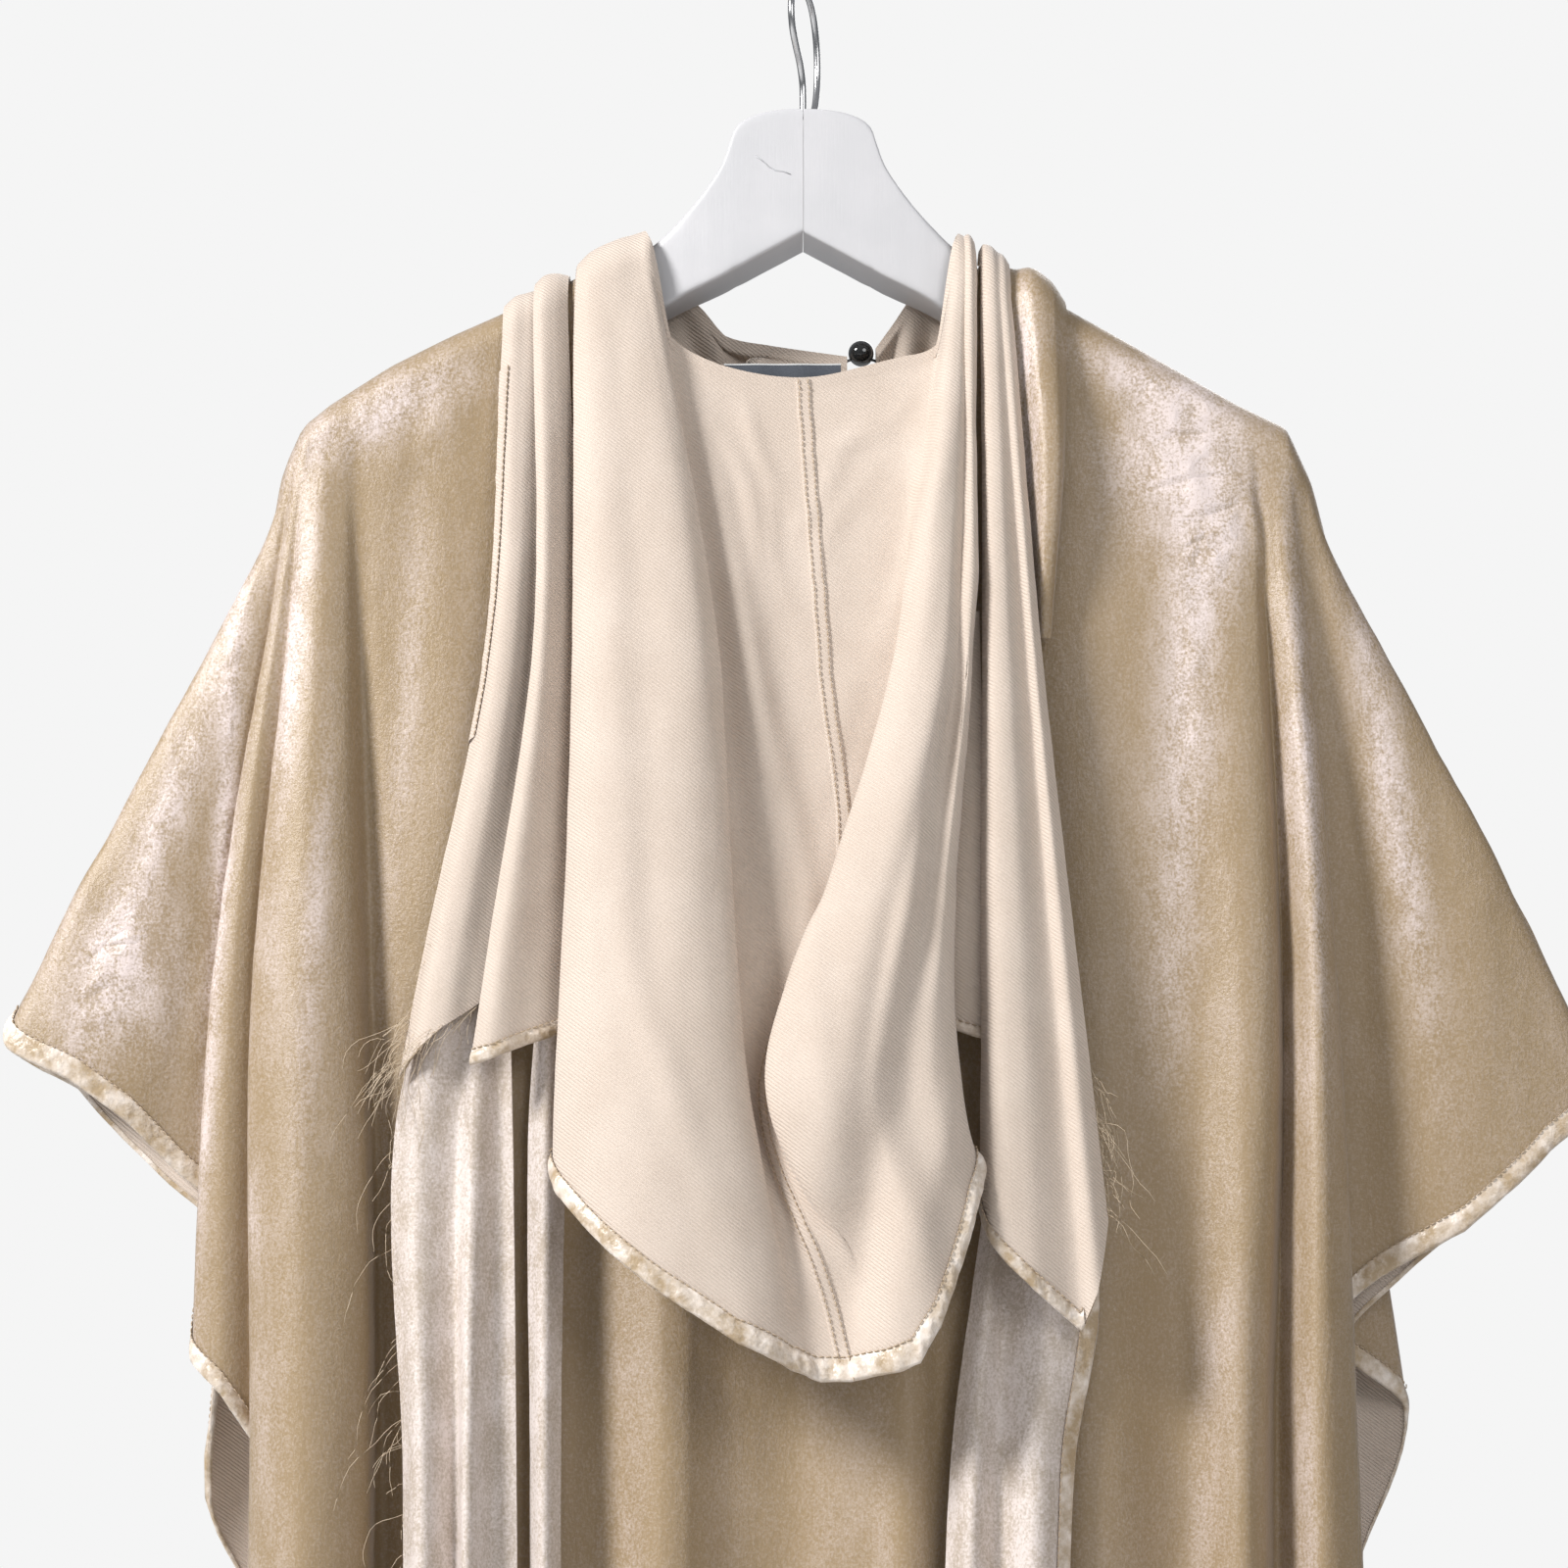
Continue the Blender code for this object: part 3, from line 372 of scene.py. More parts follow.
HOOD_CREASES = (
    ("left of the seam", -18, -222, 30, 3.2, -62, 1.3),
    ("left of the seam second", -26, -250, 34, 3.6, -70, 1.4),
    ("left of the seam third", -12, -268, 26, 2.8, -74, 1.0),
    ("right of the seam", 16, -232, 28, 3.2, 52, 1.3),
    ("right of the seam second", 26, -216, 26, 3.0, 36, 1.2),
    ("right of the seam third", 18, -258, 30, 3.0, 66, 1.0),
    ("left drape", -26, -330, 120, 7.0, -79, 3.0),
    ("left drape hollow", -38, -320, 110, 6.0, -80, -2.6),
    ("seam drape", -8, -400, 90, 6.0, -80, 2.2),
    ("right drape", 38, -300, 100, 6.0, 74, 2.4),
    ("right drape hollow", 26, -330, 100, 6.0, 76, -2.2),
    ("right lobe", 62, -350, 110, 7.0, 80, 2.4),
    ("right lobe hollow", 50, -400, 110, 6.0, 78, -2.6),
    ("left lobe", -84, -320, 150, 8.0, -88, 1.2),
    ("left lobe hollow", -70, -420, 120, 9.0, -86, -0.6),
    ("left lobe low", -60, -500, 60, 8.0, -76, 2.0),
    ("low hollow", 25, -572, 64, 15.0, 84, -11.0),
    ("low ridge", 58, -520, 50, 7.0, 84, 2.0),
)

# Unevenness of hanging cloth in millimetres: smooth stretch at its top and how slowly it ends, width and
# height of a ripple and of a crumple, and the height of both in each kind of sheet.
SMOOTH_TOP = 6.0
SMOOTH_FADE = 40.0
RIPPLE_SIZE = (26.0, 210.0)
CRUMPLE_SIZE = (9.0, 17.0)
PANEL_RUMPLE = (1.6, 0.35)
HOOD_RUMPLE = (1.6, 0.3)
STRIP_RUMPLE = (1.0, 0.25)
COLLAR_RUMPLE = (0.5, 0.3)

# How far a crease reaches in half lengths, and how far it bends in millimetres.
CREASE_REACH = 2.5
CREASE_BEND = 4.0

# Painted highlights: patches where the pile is painted silver for the sheen that the lamps raise on it:
# across, height, half width, half height, lean and strength.
PAINTED_SHEEN_PATCHES = (
    ("right shoulder", 168, -224, 26, 36, -20, 1.0),
    ("right shoulder top", 155, -192, 34, 10, -26, 0.7),
    ("right shoulder low", 184, -262, 14, 34, -14, 0.9),
    ("right breast", 172, -330, 12, 60, -4, 0.75),
    ("right side", 163, -430, 12, 70, -4, 0.45),
    ("right strip", 222, -350, 5, 110, 2, 0.7),
    ("right wing", 262, -380, 9, 100, 8, 0.7),
    ("left shoulder", -188, -204, 40, 14, 28, 0.75),
    ("left wing low", -303, -462, 26, 34, -20, 0.85),
    ("left wing", -283, -385, 10, 100, -19, 0.7),
    ("left fold", -259, -420, 5, 130, -2, 0.8),
    ("left second fold", -226, -312, 6, 75, -4, 0.75),
    ("left second fold low", -214, -450, 5, 90, -2, 0.5),
    ("left body", -176, -330, 6, 90, -3, 0.35),
    ("shoulder roll", 101, -215, 5, 70, 0, 0.75),
)

# Large panels: folds, side of the hanger and seed. Neck bands: folds and seed.
PANELS = (
    ("back_panel", BACK_FOLDS, NEAR, 1.0),
    ("front_left", FRONT_LEFT_FOLDS, FAR, 2.0),
    ("front_right", FRONT_RIGHT_FOLDS, FAR, 3.0),
)
HOOD_SEED = 11.0
HOOD_HEM_SEED = 4.0
COLLARS = (
    ("collar_left", COLLAR_LEFT_FOLDS, 21.0),
    ("collar_right", COLLAR_RIGHT_FOLDS, 22.0),
)

# Scarf ends: folds, levels, slot, side with the pile, seed, and the finish of each edge: edge, hem width
# in metres, hem finish or raw, first and last share of the edge.
TAILS = (
    ("tail_left_outer", LEFT_OUTER_FOLDS, STRIP_LEVELS, "smooth_cloth", 1.0, 31.0, (
        ("left", 0.005, "weave", 0.16, 0.62),
        ("bottom", 0.0, "raw", 0.0, 1.0),
        ("left", 0.0, "raw", 0.93, 1.0),
    )),
    ("tail_left_inner", LEFT_INNER_FOLDS, STRIP_LEVELS, "smooth_cloth", 1.0, 32.0, (
        ("bottom", 0.006, "hem_pile", 0.0, 1.0),
    )),
    ("tail_right_outer", RIGHT_OUTER_FOLDS, STRIP_LEVELS, "smooth_cloth", 1.0, 33.0, (
        ("bottom", 0.007, "hem_pile", 0.0, 0.65),
        ("right", 0.0, "raw", 0.86, 1.0),
    )),
    ("tail_right_flap", FLAP_FOLDS, FLAP_LEVELS, "smooth_cloth", 1.0, 34.0, (
        ("bottom", 0.004, "hem_pile", 0.0, 1.0),
    )),
    ("tail_left_lower", LOWER_LEFT_FOLDS, LOWER_LEFT_LEVELS, "pile_cloth", -1.0, 35.0, (
        ("left", 0.0, "raw", 0.08, 0.6),
        ("bottom", 0.008, "hem_pile", 0.0, 1.0),
    )),
    ("tail_left_second", SECOND_LEFT_FOLDS, LOWER_LEFT_LEVELS, "pile_cloth", -1.0, 36.0, (
        ("bottom", 0.008, "hem_pile", 0.0, 1.0),
    )),
    ("tail_right_lower", LOWER_RIGHT_FOLDS, LOWER_RIGHT_LEVELS, "pile_cloth", -1.0, 37.0, (
        ("right", 0.008, "hem_pile", 0.16, 1.0),
        ("bottom", 0.008, "hem_pile", 0.0, 1.0),
    )),
    ("shoulder_roll", ROLL_FOLDS, ROLL_LEVELS, "pile_cloth", -1.0, 38.0, ()),
)

# Stretches of the frame that each panel stands for.
PANEL_NODES = {
    "back_panel": (
        "back_yoke", "back_wing_left", "back_panel", "back_side_right", "back_wing_right"),
    "front_left": ("front_left_yoke", "front_left_wing", "front_left_side", "front_left"),
    "front_right": ("front_right_yoke", "front_right", "front_right_side", "front_right_wing"),
}

# Crack in the paint: depth of the hanger's face, its bends in millimetres and its radius in metres.
HANGER_FACE = 16.4
CRACK = ((-22.0, -85.0), (-19.0, -87.0), (-15.5, -90.5), (-12.5, -92.2), (-9.0, -92.6), (-5.8, -94.0))
CRACK_WIDTH = 0.00035

# Turned hems: shares of the width at which they are lifted, length of a pucker, lift over the cloth
# in front and behind, and height of the stitches over the cloth's middle, in metres.
HEM_STEPS = (1.0, 0.93, 0.8, 0.6, 0.4, 0.2, 0.06, 0.0)
HEM_PUCKER = 0.006
HEM_LIFT = 0.0004
HEM_BACK = 0.0005
STITCH_LIFT = 0.0012

# Form of a hem: how early it swells as a share of its width, how blunt it is, how full it is between
# its puckers and how much they change that, and how far it wraps the edge in metres.
HEM_EARLY = 0.12
HEM_BLUNT = 0.7
HEM_FULL = 0.8
HEM_UNEVEN = 1.3
HEM_WRAP = 0.0009
HEM_WRAP_UNEVEN = 0.0004

# Stitches: from one to the next, length of each and radius of the thread, in metres; how high each
# arches in radii, its steps and the sides of its thread.
STITCH_PITCH = 0.0030
STITCH_LENGTH = 0.0020
STITCH_RADIUS = 0.00028
STITCH_ARCH = 1.2
STITCH_STEPS = 4
STITCH_SIDES = 5

# Hem widths and how far they puff up, in metres, for the panels, the hood and the scarf ends.
PANEL_HEM = (0.0095, 0.0013)
HOOD_HEM = (0.0098, 0.0016)
STRIP_PUFF = 0.0009

# Felled seam: half width, and its share across with the lift over the cloth at each.
SEAM_HALF = 0.0035
SEAM_FORM = ((-1.0, -0.3), (-0.9, 0.6), (-0.6, 0.35), (0.0, 0.7), (0.6, 0.35), (0.9, 0.6), (1.0, -0.3))
SEAM_ROWS = (-0.62, 0.62)

# Height over the cloth of the seam's base, of its full lift and of its stitches, and how far and how fast
# the seam wanders, with its seed.
SEAM_BASE = 0.0001
SEAM_LIFT = 0.0007
SEAM_STITCHES = 0.0009
SEAM_PULL = 0.0005
SEAM_WAVE = 0.55
SEAM_SEED = 4.2

# Loose threads: how many at each raw edge, shortest and longest in metres, and steps in each.
THREADS = 50
THREAD_LENGTHS = (0.003, 0.055)
THREAD_STEPS = 10

# Form of the threads: how much rarer long ones are, spread of their headings, noise places and shifts
# that curl them on each axis, how fast and how much they curl, their sag, radius in metres and sides.
THREAD_FEW_LONG = 2.2
THREAD_SPREAD = (0.5, 0.3, 0.5)
THREAD_CURLS = ((3.7, 0.0), (5.1, 3.0), (2.3, 9.0))
THREAD_WAVE = 0.45
THREAD_CURL = 0.7
THREAD_SAG = Vector((0.0, 0.0, -0.16))
THREAD_RADIUS = 0.00013
THREAD_SIDES = 3

FLOOR_HEIGHT = -1.42
FLOOR_SIZE = 12.0

# Painted highlight on slopes that turn left, towards the key lamp, painted as the pile's silver: where it
# starts, its range and its strength, then the even share of it and the size in millimetres of the patches
# that break it up.
SLOPE_START = 0.25
SLOPE_RANGE = 0.55
SLOPE_SHINE = 0.38
SLOPE_EVEN = 0.6
SLOPE_PATCH = (14.0, 60.0)
SLOPE_SEED = 5.0

# Lamps: place, aim, disc size and power in watts.
LIGHTS = (
    ("key", (-2.5, -1.75, 1.4), (0.0, 0.0, -0.38), 0.9, 158.0),
    ("fill", (1.0, -2.0, 0.5), (0.0, 0.0, -0.45), 1.2, 15.0),
    ("back", (0.6, 2.2, 0.8), (0.0, 0.0, -0.4), 1.6, 16.0),
)

# Cloth finishes: the two colours between which each one turns, gold and a silver that is painted sheen; for
# the pile, also how much painted sheen it has where the sheen mask is empty. The lighter copy of the pile is
# painted with much more sheen.
PILES = {
    "pile": ((0.315, 0.225, 0.125, 1.0), (0.74, 0.635, 0.605, 1.0), 0.05),
    "pile_painted_sheen": ((0.42, 0.34, 0.26, 1.0), (0.72, 0.64, 0.60, 1.0), 0.7),
}
# Hem: gold, and a silver that is painted sheen for its puckers.
HEM_COLOURS = ((0.42, 0.31, 0.19, 1.0), (0.82, 0.73, 0.65, 1.0))
WEAVE = ((0.68, 0.575, 0.49, 1.0), (0.56, 0.455, 0.37, 1.0))
PAINT = ((0.60, 0.59, 0.60, 1.0), (0.565, 0.56, 0.57, 1.0))

# Other finishes: name, two colours, roughness, metallic, coat, scale of the grain and relief.
PLAIN_FINISHES = {
    # The thread's colour is darkened as painted shade for the shadow that the stitches cast on the cloth.
    "thread": ("thread", (0.52, 0.40, 0.28, 1.0), (0.42, 0.32, 0.22, 1.0), 0.6, 0.0, 0.0, 3000.0, 0.1),
    "fray": ("fray", (0.62, 0.50, 0.36, 1.0), (0.52, 0.41, 0.29, 1.0), 0.6, 0.0, 0.0, 3000.0, 0.1),
    "steel": ("wire_steel", (0.62, 0.62, 0.62, 1.0), (0.54, 0.54, 0.54, 1.0), 0.22, 1.0, 0.0, 300.0, 0.1),
    "bead": ("bead_gloss", (0.012, 0.012, 0.013, 1.0), (0.02, 0.02, 0.02, 1.0), 0.08, 0.0, 0.6, 300.0, 0.1),
    "label": ("label_weave", (0.045, 0.052, 0.066, 1.0), (0.08, 0.09, 0.11, 1.0), 0.7, 0.0, 0.0, 2600.0, 0.5),
    "selvedge": ("selvedge", (0.60, 0.60, 0.59, 1.0), (0.50, 0.50, 0.50, 1.0), 0.7, 0.0, 0.0, 2600.0, 0.5),
    "crack": ("crack", (0.42, 0.42, 0.43, 1.0), (0.55, 0.55, 0.56, 1.0), 0.6, 0.0, 0.0, 300.0, 0.1),
    "floor": ("floor", (0.80, 0.80, 0.80, 1.0), (0.78, 0.78, 0.78, 1.0), 0.8, 0.0, 0.0, 6.0, 0.02),
}

# World: strength of its light, its colour above and below, and the pale tone that the camera sees.
AMBIENT = 0.33
SKY = (0.95, 0.97, 1.03, 1.0)
GROUND = (0.22, 0.26, 0.27, 1.0)
BACKDROP = (0.913, 0.913, 0.913, 1.0)

CAMERA_PLACE = (-0.0088, -1.6, -0.6265)
CAMERA_TILT = math.radians(99.0)
LENS = 82.84
SENSOR = 36.0


def between(table, place):
    """Value of a two-column table at a place, straight between its rows."""
    for low, high in zip(table, table[1:]):
        if place <= high[0]:
            share = (place - low[0]) / (high[0] - low[0])
            return low[1] + share * (high[1] - low[1])
    return table[-1][1]


def eased(first, lean_in, second, lean_out, share):
    """Point between two that leaves the first and meets the second along the given leans."""
    square = share * share
    cube = square * share
    return (
        first * (2.0 * cube - 3.0 * square + 1.0)
        + lean_in * (cube - 2.0 * square + share)
        + second * (3.0 * square - 2.0 * cube)
        + lean_out * (cube - square)
    )


def curve_point(points, index, share):
    """Point on a rounded curve through the points, a share of the way from one to the next."""
    first = points[index]
    second = points[index + 1]
    before = points[index - 1] if index > 0 else first * 2.0 - second
    after = points[index + 2] if index + 2 < len(points) else second * 2.0 - first
    gap_in = max((first - before).length ** 0.5, SHORT_STEP)
    gap = max((second - first).length ** 0.5, SHORT_STEP)
    gap_out = max((after - second).length ** 0.5, SHORT_STEP)
    lean_in = (first - before) / gap_in - (second - before) / (gap_in + gap) + (second - first) / gap
    lean_out = (second - first) / gap - (after - first) / (gap + gap_out) + (after - second) / gap_out
    return eased(first, lean_in * gap, second, lean_out * gap, share)


def fall(stations, height):
    """Point at a height on a line that hangs through the stations, listed from the top."""
    last = len(stations) - 2
    index = 0
    while index < last and height < stations[index + 1].z:
        index += 1
    upper = stations[index]
    lower = stations[index + 1]
    span = lower.z - upper.z
    slope = (lower - upper) / span
    if height < lower.z:
        return lower + slope * (height - lower.z)
    slope_in = slope
    slope_out = slope
    if index > 0:
        above = stations[index - 1]
        slope_in = (slope + (upper - above) / (upper.z - above.z)) * 0.5
    if index < last:
        below = stations[index + 2]
        slope_out = (slope + (below - lower) / (below.z - lower.z)) * 0.5
    place = eased(upper, slope_in * span, lower, slope_out * span, (height - upper.z) / span)
    return Vector((place.x, place.y, height))


def on_arm(across, reach, turn):
    """Height where cloth that wraps the hanger's arm begins."""
    return between(RIDGE, across) - ARM_REACH + reach * math.cos(math.radians(max(turn, 0.0)))


def read_fold(row, levels, side):
    """Top, turn, stations and lower edge of one fold row."""
    across, reach, height, turn = row[1:5]
    if height is None:
        height = on_arm(across, reach, turn)
    top = Vector((across, side * max(reach, HALF_SEAM), height))
    stations = []
    for number, level in enumerate(levels):
        x = row[5 + 2 * number]
        y = side * max(row[6 + 2 * number], HALF_SEAM)
        stations.append(Vector((x, y, level)))
    return top, turn, stations, row[-1]


def hang_line(top, turn, stations, end, rows, side, ease):
    """Points down one line of cloth: over the shoulder, then straight down to the edge."""
    reach = abs(top.y)
    centre = top.z - reach * math.cos(math.radians(max(turn, 0.0)))
    turned = reach * math.radians(90.0 - turn)
    drop = max(OVER_DROP - turned * OVER_CLOSE, 0.0)
    line = []
    for step in range(OVER_STEPS):
        share = step / OVER_STEPS
        angle = math.radians(turn + (90.0 - turn) * share)
        y = reach * math.sin(angle)
        if turn >= 0.0:
            y = max(y, HALF_SEAM)
        line.append(Vector((top.x, side * y, centre + reach * math.cos(angle) - drop * share)))
    start = Vector((top.x, top.y, centre - drop))
    path = [start] + stations
    for step in range(rows + 1):
        share = step / rows
        share *= ease + (1.0 - ease) * share
        line.append(fall(path, start.z + (end - start.z) * share))
    return line


def cloth_grid(folds, levels, rows, side, parts, ease=1.0):
    """Grid of points over a hanging sheet, one list for each line from its top to its edge."""
    read = [read_fold(row, levels, side) for row in folds]
    if levels == PANEL_LEVELS:
        for top, turn, stations, end in read:
            upper, lower = stations
            spread = lower.x + (lower.x - upper.x) * HEM_SPREAD
            stations.append(Vector((spread, lower.y * HEM_DEPTH, HEM)))
    tops = [entry[0] for entry in read]
    lines = []
    count = (len(read) - 1) * parts
    for number in range(count + 1):
        index = min(number // parts, len(read) - 2)
        share = (number - index * parts) / parts
        top = curve_point(tops, index, share)
        top.x = tops[index].x + (tops[index + 1].x - tops[index].x) * share
        stations = []
        for level in range(len(read[0][2])):
            stations.append(curve_point([entry[2][level] for entry in read], index, share))
        turn = read[index][1] + (read[index + 1][1] - read[index][1]) * share
        if folds[index][3] is None and folds[index + 1][3] is None:
            top.z = on_arm(top.x, abs(top.y), turn)
        end = read[index][3] + (read[index + 1][3] - read[index][3]) * share
        lines.append(hang_line(top, turn, stations, end, rows, side, ease))
    return [[point * MM for point in line] for line in lines]


def grid_normals(lines):
    """Direction out of the sheet at each point, towards +Y where the sheet hangs plain."""
    normals = []
    for i, line in enumerate(lines):
        left = lines[max(i - 1, 0)]
        right = lines[min(i + 1, len(lines) - 1)]
        column = []
        for j in range(len(line)):
            across = right[j] - left[j]
            down = line[min(j + 1, len(line) - 1)] - line[max(j - 1, 0)]
            normal = across.cross(down).normalized()
            if abs(line[j].y) < HALF_SEAM * 2.0 * MM:
                normal = Vector((normal.x, 0.0, normal.z)).normalized()
            column.append(normal)
        normals.append(column)
    return normals


def uneven(x, z, size, seed):
    """Noise over a sheet whose patches have a width and a height."""
    return noise.noise(Vector((x / size[0], z / size[1], seed)))


def turned(x, z, lean):
    """Place in axes that lean by an angle in degrees."""
    c = math.cos(math.radians(lean))
    s = math.sin(math.radians(lean))
    return x * c + z * s, z * c - x * s


def crease_height(creases, x, z):
    """Height of the pressed creases at a place, in millimetres."""
    total = 0.0
    for _name, across, height, half_length, half_width, lean, depth in creases:
        dx = x - across
        dz = z - height
        if max(abs(dx), abs(dz)) > CREASE_REACH * half_length:
            continue
        along, beside = turned(dx, dz, lean)
        along /= half_length
        beside = (beside + CREASE_BEND * math.sin(along * 2.0 + across)) / half_width
        total += depth * math.exp(-along * along - beside * beside)
    return total


def rumple(lines, side, creases, ripple, crumple, seed):
    """Let a smooth grid hang unevenly: slow ripples down it, small crumples and pressed creases."""
    normals = grid_normals(lines)
    rumpled = []
    for line, column in zip(lines, normals):
        top = line[0].z / MM
        new_line = []
        for point, normal in zip(line, column):
            x = point.x / MM
            z = point.z / MM
            fade = min(max((top - z - SMOOTH_TOP) / SMOOTH_FADE, 0.0), 1.0)
            slow = uneven(x, z, RIPPLE_SIZE, seed) * ripple * fade
            small = uneven(x, z, CRUMPLE_SIZE, seed + 7.3) * crumple * fade
            pressed = crease_height(creases, x, z) * min(fade * 3.0, 1.0)
            new_line.append(point + normal * side * (slow + small + pressed) * MM)
        rumpled.append(new_line)
    return rumpled


def sheet_mesh(name, lines, pile_side, pile, plain, thickness=CLOTH):
    """Thin closed sheet with the pile on one side and the plain weave on the other."""
    normals = grid_normals(lines)
    shape = bmesh.new()
    layers = []
    for sign in (0.5, -0.5):
        layer = []
        for line, column in zip(lines, normals):
            layer.append([shape.verts.new(p + n * thickness * sign) for p, n in zip(line, column)])
        layers.append(layer)
    outer, inner = layers
    for layer, sign in ((outer, 1.0), (inner, -1.0)):
        slot = 0 if sign == pile_side else 1
        for a, b in zip(layer, layer[1:]):
            for j in range(len(a) - 1):
                face = shape.faces.new((a[j], a[j + 1], b[j + 1], b[j]))
                face.material_index = slot
                face.smooth = True
    rims = []
    for a, b in ((outer[0], inner[0]), (outer[-1], inner[-1])):
        for j in range(len(a) - 1):
            rims.append(shape.faces.new((a[j], a[j + 1], b[j + 1], b[j])))
    for end in (0, -1):
        for i in range(len(outer) - 1):
            rims.append(shape.faces.new((outer[i][end], outer[i + 1][end], inner[i + 1][end], inner[i][end])))
    for face in rims:
        for edge in face.edges:
            edge.smooth = False
    return finish_shape(name, shape, pile, plain)


def finish_shape(name, shape, *finishes):
    """Turn a shape into a piece of the scene, carried by the cloak's one body."""
    bmesh.ops.recalc_face_normals(shape, faces=shape.faces)
    mesh = bpy.data.meshes.new(name)
    shape.to_mesh(mesh)
    shape.free()
    for finish in finishes:
        mesh.materials.append(finish)
    piece = bpy.data.objects.new(name, mesh)
    bpy.context.scene.collection.objects.link(piece)
    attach(piece, "root")
    return piece


def mark_painted_sheen(piece, patches):
    """Store a painted sheen mask at each point: painted highlight patches, and painted highlight where folds
    turn left towards the key lamp.
    """
    mesh = piece.data
    layer = mesh.attributes.new("painted_sheen", "FLOAT", "POINT")
    values = []
    for vertex in mesh.vertices:
        x = vertex.co.x / MM
        z = vertex.co.z / MM
        # Painted highlight: slopes that face the key lamp on the left are painted silver.
        slope = min(max((-vertex.normal.x - SLOPE_START) / SLOPE_RANGE, 0.0), 1.0)
        total = SLOPE_SHINE * slope * (SLOPE_EVEN + uneven(x, z, SLOPE_PATCH, SLOPE_SEED))
        for _name, across, height, half_width, half_height, lean, strength in patches:
            u, v = turned(x - across, z - height, lean)
            total += strength * math.exp(-(u / half_width) ** 2 - (v / half_height) ** 2)
        values.append(min(max(total, 0.0), 1.0))
    layer.data.foreach_set("value", values)


def along_edge(lines, normals, edge, depths):
    """Points and normals beside an edge of a grid: one list for each place along it, by depth."""
    if edge == "bottom":
        runs = [list(zip(line, column))[::-1] for line, column in zip(lines, normals)]
    else:
        step = 1 if edge == "left" else -1
        pairs = list(zip(lines, normals))[::step]
        runs = [[(line[j], column[j]) for line, column in pairs] for j in range(len(lines[0]))]
    result = []
    for run in runs:
        places = []
        for depth in depths:
            left = depth
            spot = run[0]
            for (a, normal), (b, next_normal) in zip(run, run[1:]):
                gap = (b - a).length
                if left <= gap:
                    share = left / max(gap, SHORT_STEP * MM)
                    spot = (a.lerp(b, share), normal.lerp(next_normal, share).normalized())
                    break
                left -= gap
                spot = (b, next_normal)
            places.append(spot)
        result.append(places)
    return result


def hem_band(name, lines, edge, side, width, puff, seed, material, span=(0.0, 1.0)):
    """Turned hem that wraps an edge, full between its stitches, and the track of its stitches."""
    normals = grid_normals(lines)
    depths = [width * share for share in HEM_STEPS]
    places = along_edge(lines, normals, edge, depths)
    first = int(span[0] * (len(places) - 1))
    last = int(span[1] * (len(places) - 1)) + 1
    places = places[first:last]
    grid = []
    run = 0.0
    before = places[0][-1][0]
    for row in places:
        rim, rim_normal = row[-1]
        run += (rim - before).length
        before = rim
        pull = noise.noise(Vector((run / HEM_PUCKER, seed, 0.0)))
        away = (rim - row[-3][0]).normalized()
        line = []
        for (point, normal), depth in zip(row, depths):
            share = depth / width
            swell = math.sin(math.pi * min(share + HEM_EARLY, 1.0)) ** HEM_BLUNT
            lift = CLOTH * 0.5 + HEM_LIFT + puff * (HEM_FULL + HEM_UNEVEN * pull) * swell
            line.append(point + normal * side * lift)
        wrap = HEM_WRAP + HEM_WRAP_UNEVEN * pull
        line.append(rim + away * wrap + rim_normal * side * CLOTH * 0.3)
        line.append(rim + away * wrap * 0.6 - rim_normal * side * (CLOTH * 0.5 + HEM_BACK))
        line.append(row[-3][0] - row[-3][1] * side * (CLOTH * 0.5 + HEM_BACK))
        grid.append(line)
    track = [(row[0][0] + row[0][1] * side * STITCH_LIFT, row[0][1] * side) for row in places]
    return ribbon_mesh(name, grid, material), track


def ribbon_mesh(name, grid, material):
    """Open ribbon of points that lies on a sheet."""
    shape = bmesh.new()
    rows = [[shape.verts.new(point) for point in line] for line in grid]
    for a, b in zip(rows, rows[1:]):
        for j in range(len(a) - 1):
            shape.faces.new((a[j], a[j + 1], b[j + 1], b[j])).smooth = True
    return finish_shape(name, shape, material)


def add_tube(shape, path, radius, sides):
    """Thin round tube along a path."""
    rings = []
    for index, point in enumerate(path):
        along = (path[min(index + 1, len(path) - 1)] - path[max(index - 1, 0)]).normalized()
        beside = along.orthogonal().normalized()
        other = along.cross(beside)
        ring = []
        for k in range(sides):
            angle = 2.0 * math.pi * k / sides
            spoke = beside * math.cos(angle) + other * math.sin(angle)
            ring.append(shape.verts.new(point + spoke * radius))
        rings.append(ring)
    for a, b in zip(rings, rings[1:]):
        shift = min(range(sides), key=lambda k: (b[k].co - a[0].co).length)
        b[:] = b[shift:] + b[:shift]
        for k in range(sides):
            after = (k + 1) % sides
            shape.faces.new((a[k], a[after], b[after], b[k])).smooth = True
    shape.faces.new(rings[0])
    shape.faces.new(rings[-1])


def stitch_row(name, track, material):
    """Row of stitches along a track of points and directions out of the cloth."""
    shape = bmesh.new()
    run = 0.0
    next_start = 0.0
    starts = []
    for index in range(len(track) - 1):
        a, normal = track[index]
        b, _next_normal = track[index + 1]
        gap = (b - a).length
        while next_start <= run + gap and gap > 0.0:
            starts.append((a.lerp(b, (next_start - run) / gap), (b - a) / gap, normal))
            next_start += STITCH_PITCH
        run += gap
    for point, along, normal in starts:
        path = []
        for step in range(STITCH_STEPS + 1):
            share = step / STITCH_STEPS
            rise = math.sin(math.pi * share) * STITCH_RADIUS * STITCH_ARCH
            path.append(point + along * STITCH_LENGTH * share + normal * rise)
        add_tube(shape, path, STITCH_RADIUS, STITCH_SIDES)
    return finish_shape(name, shape, material)


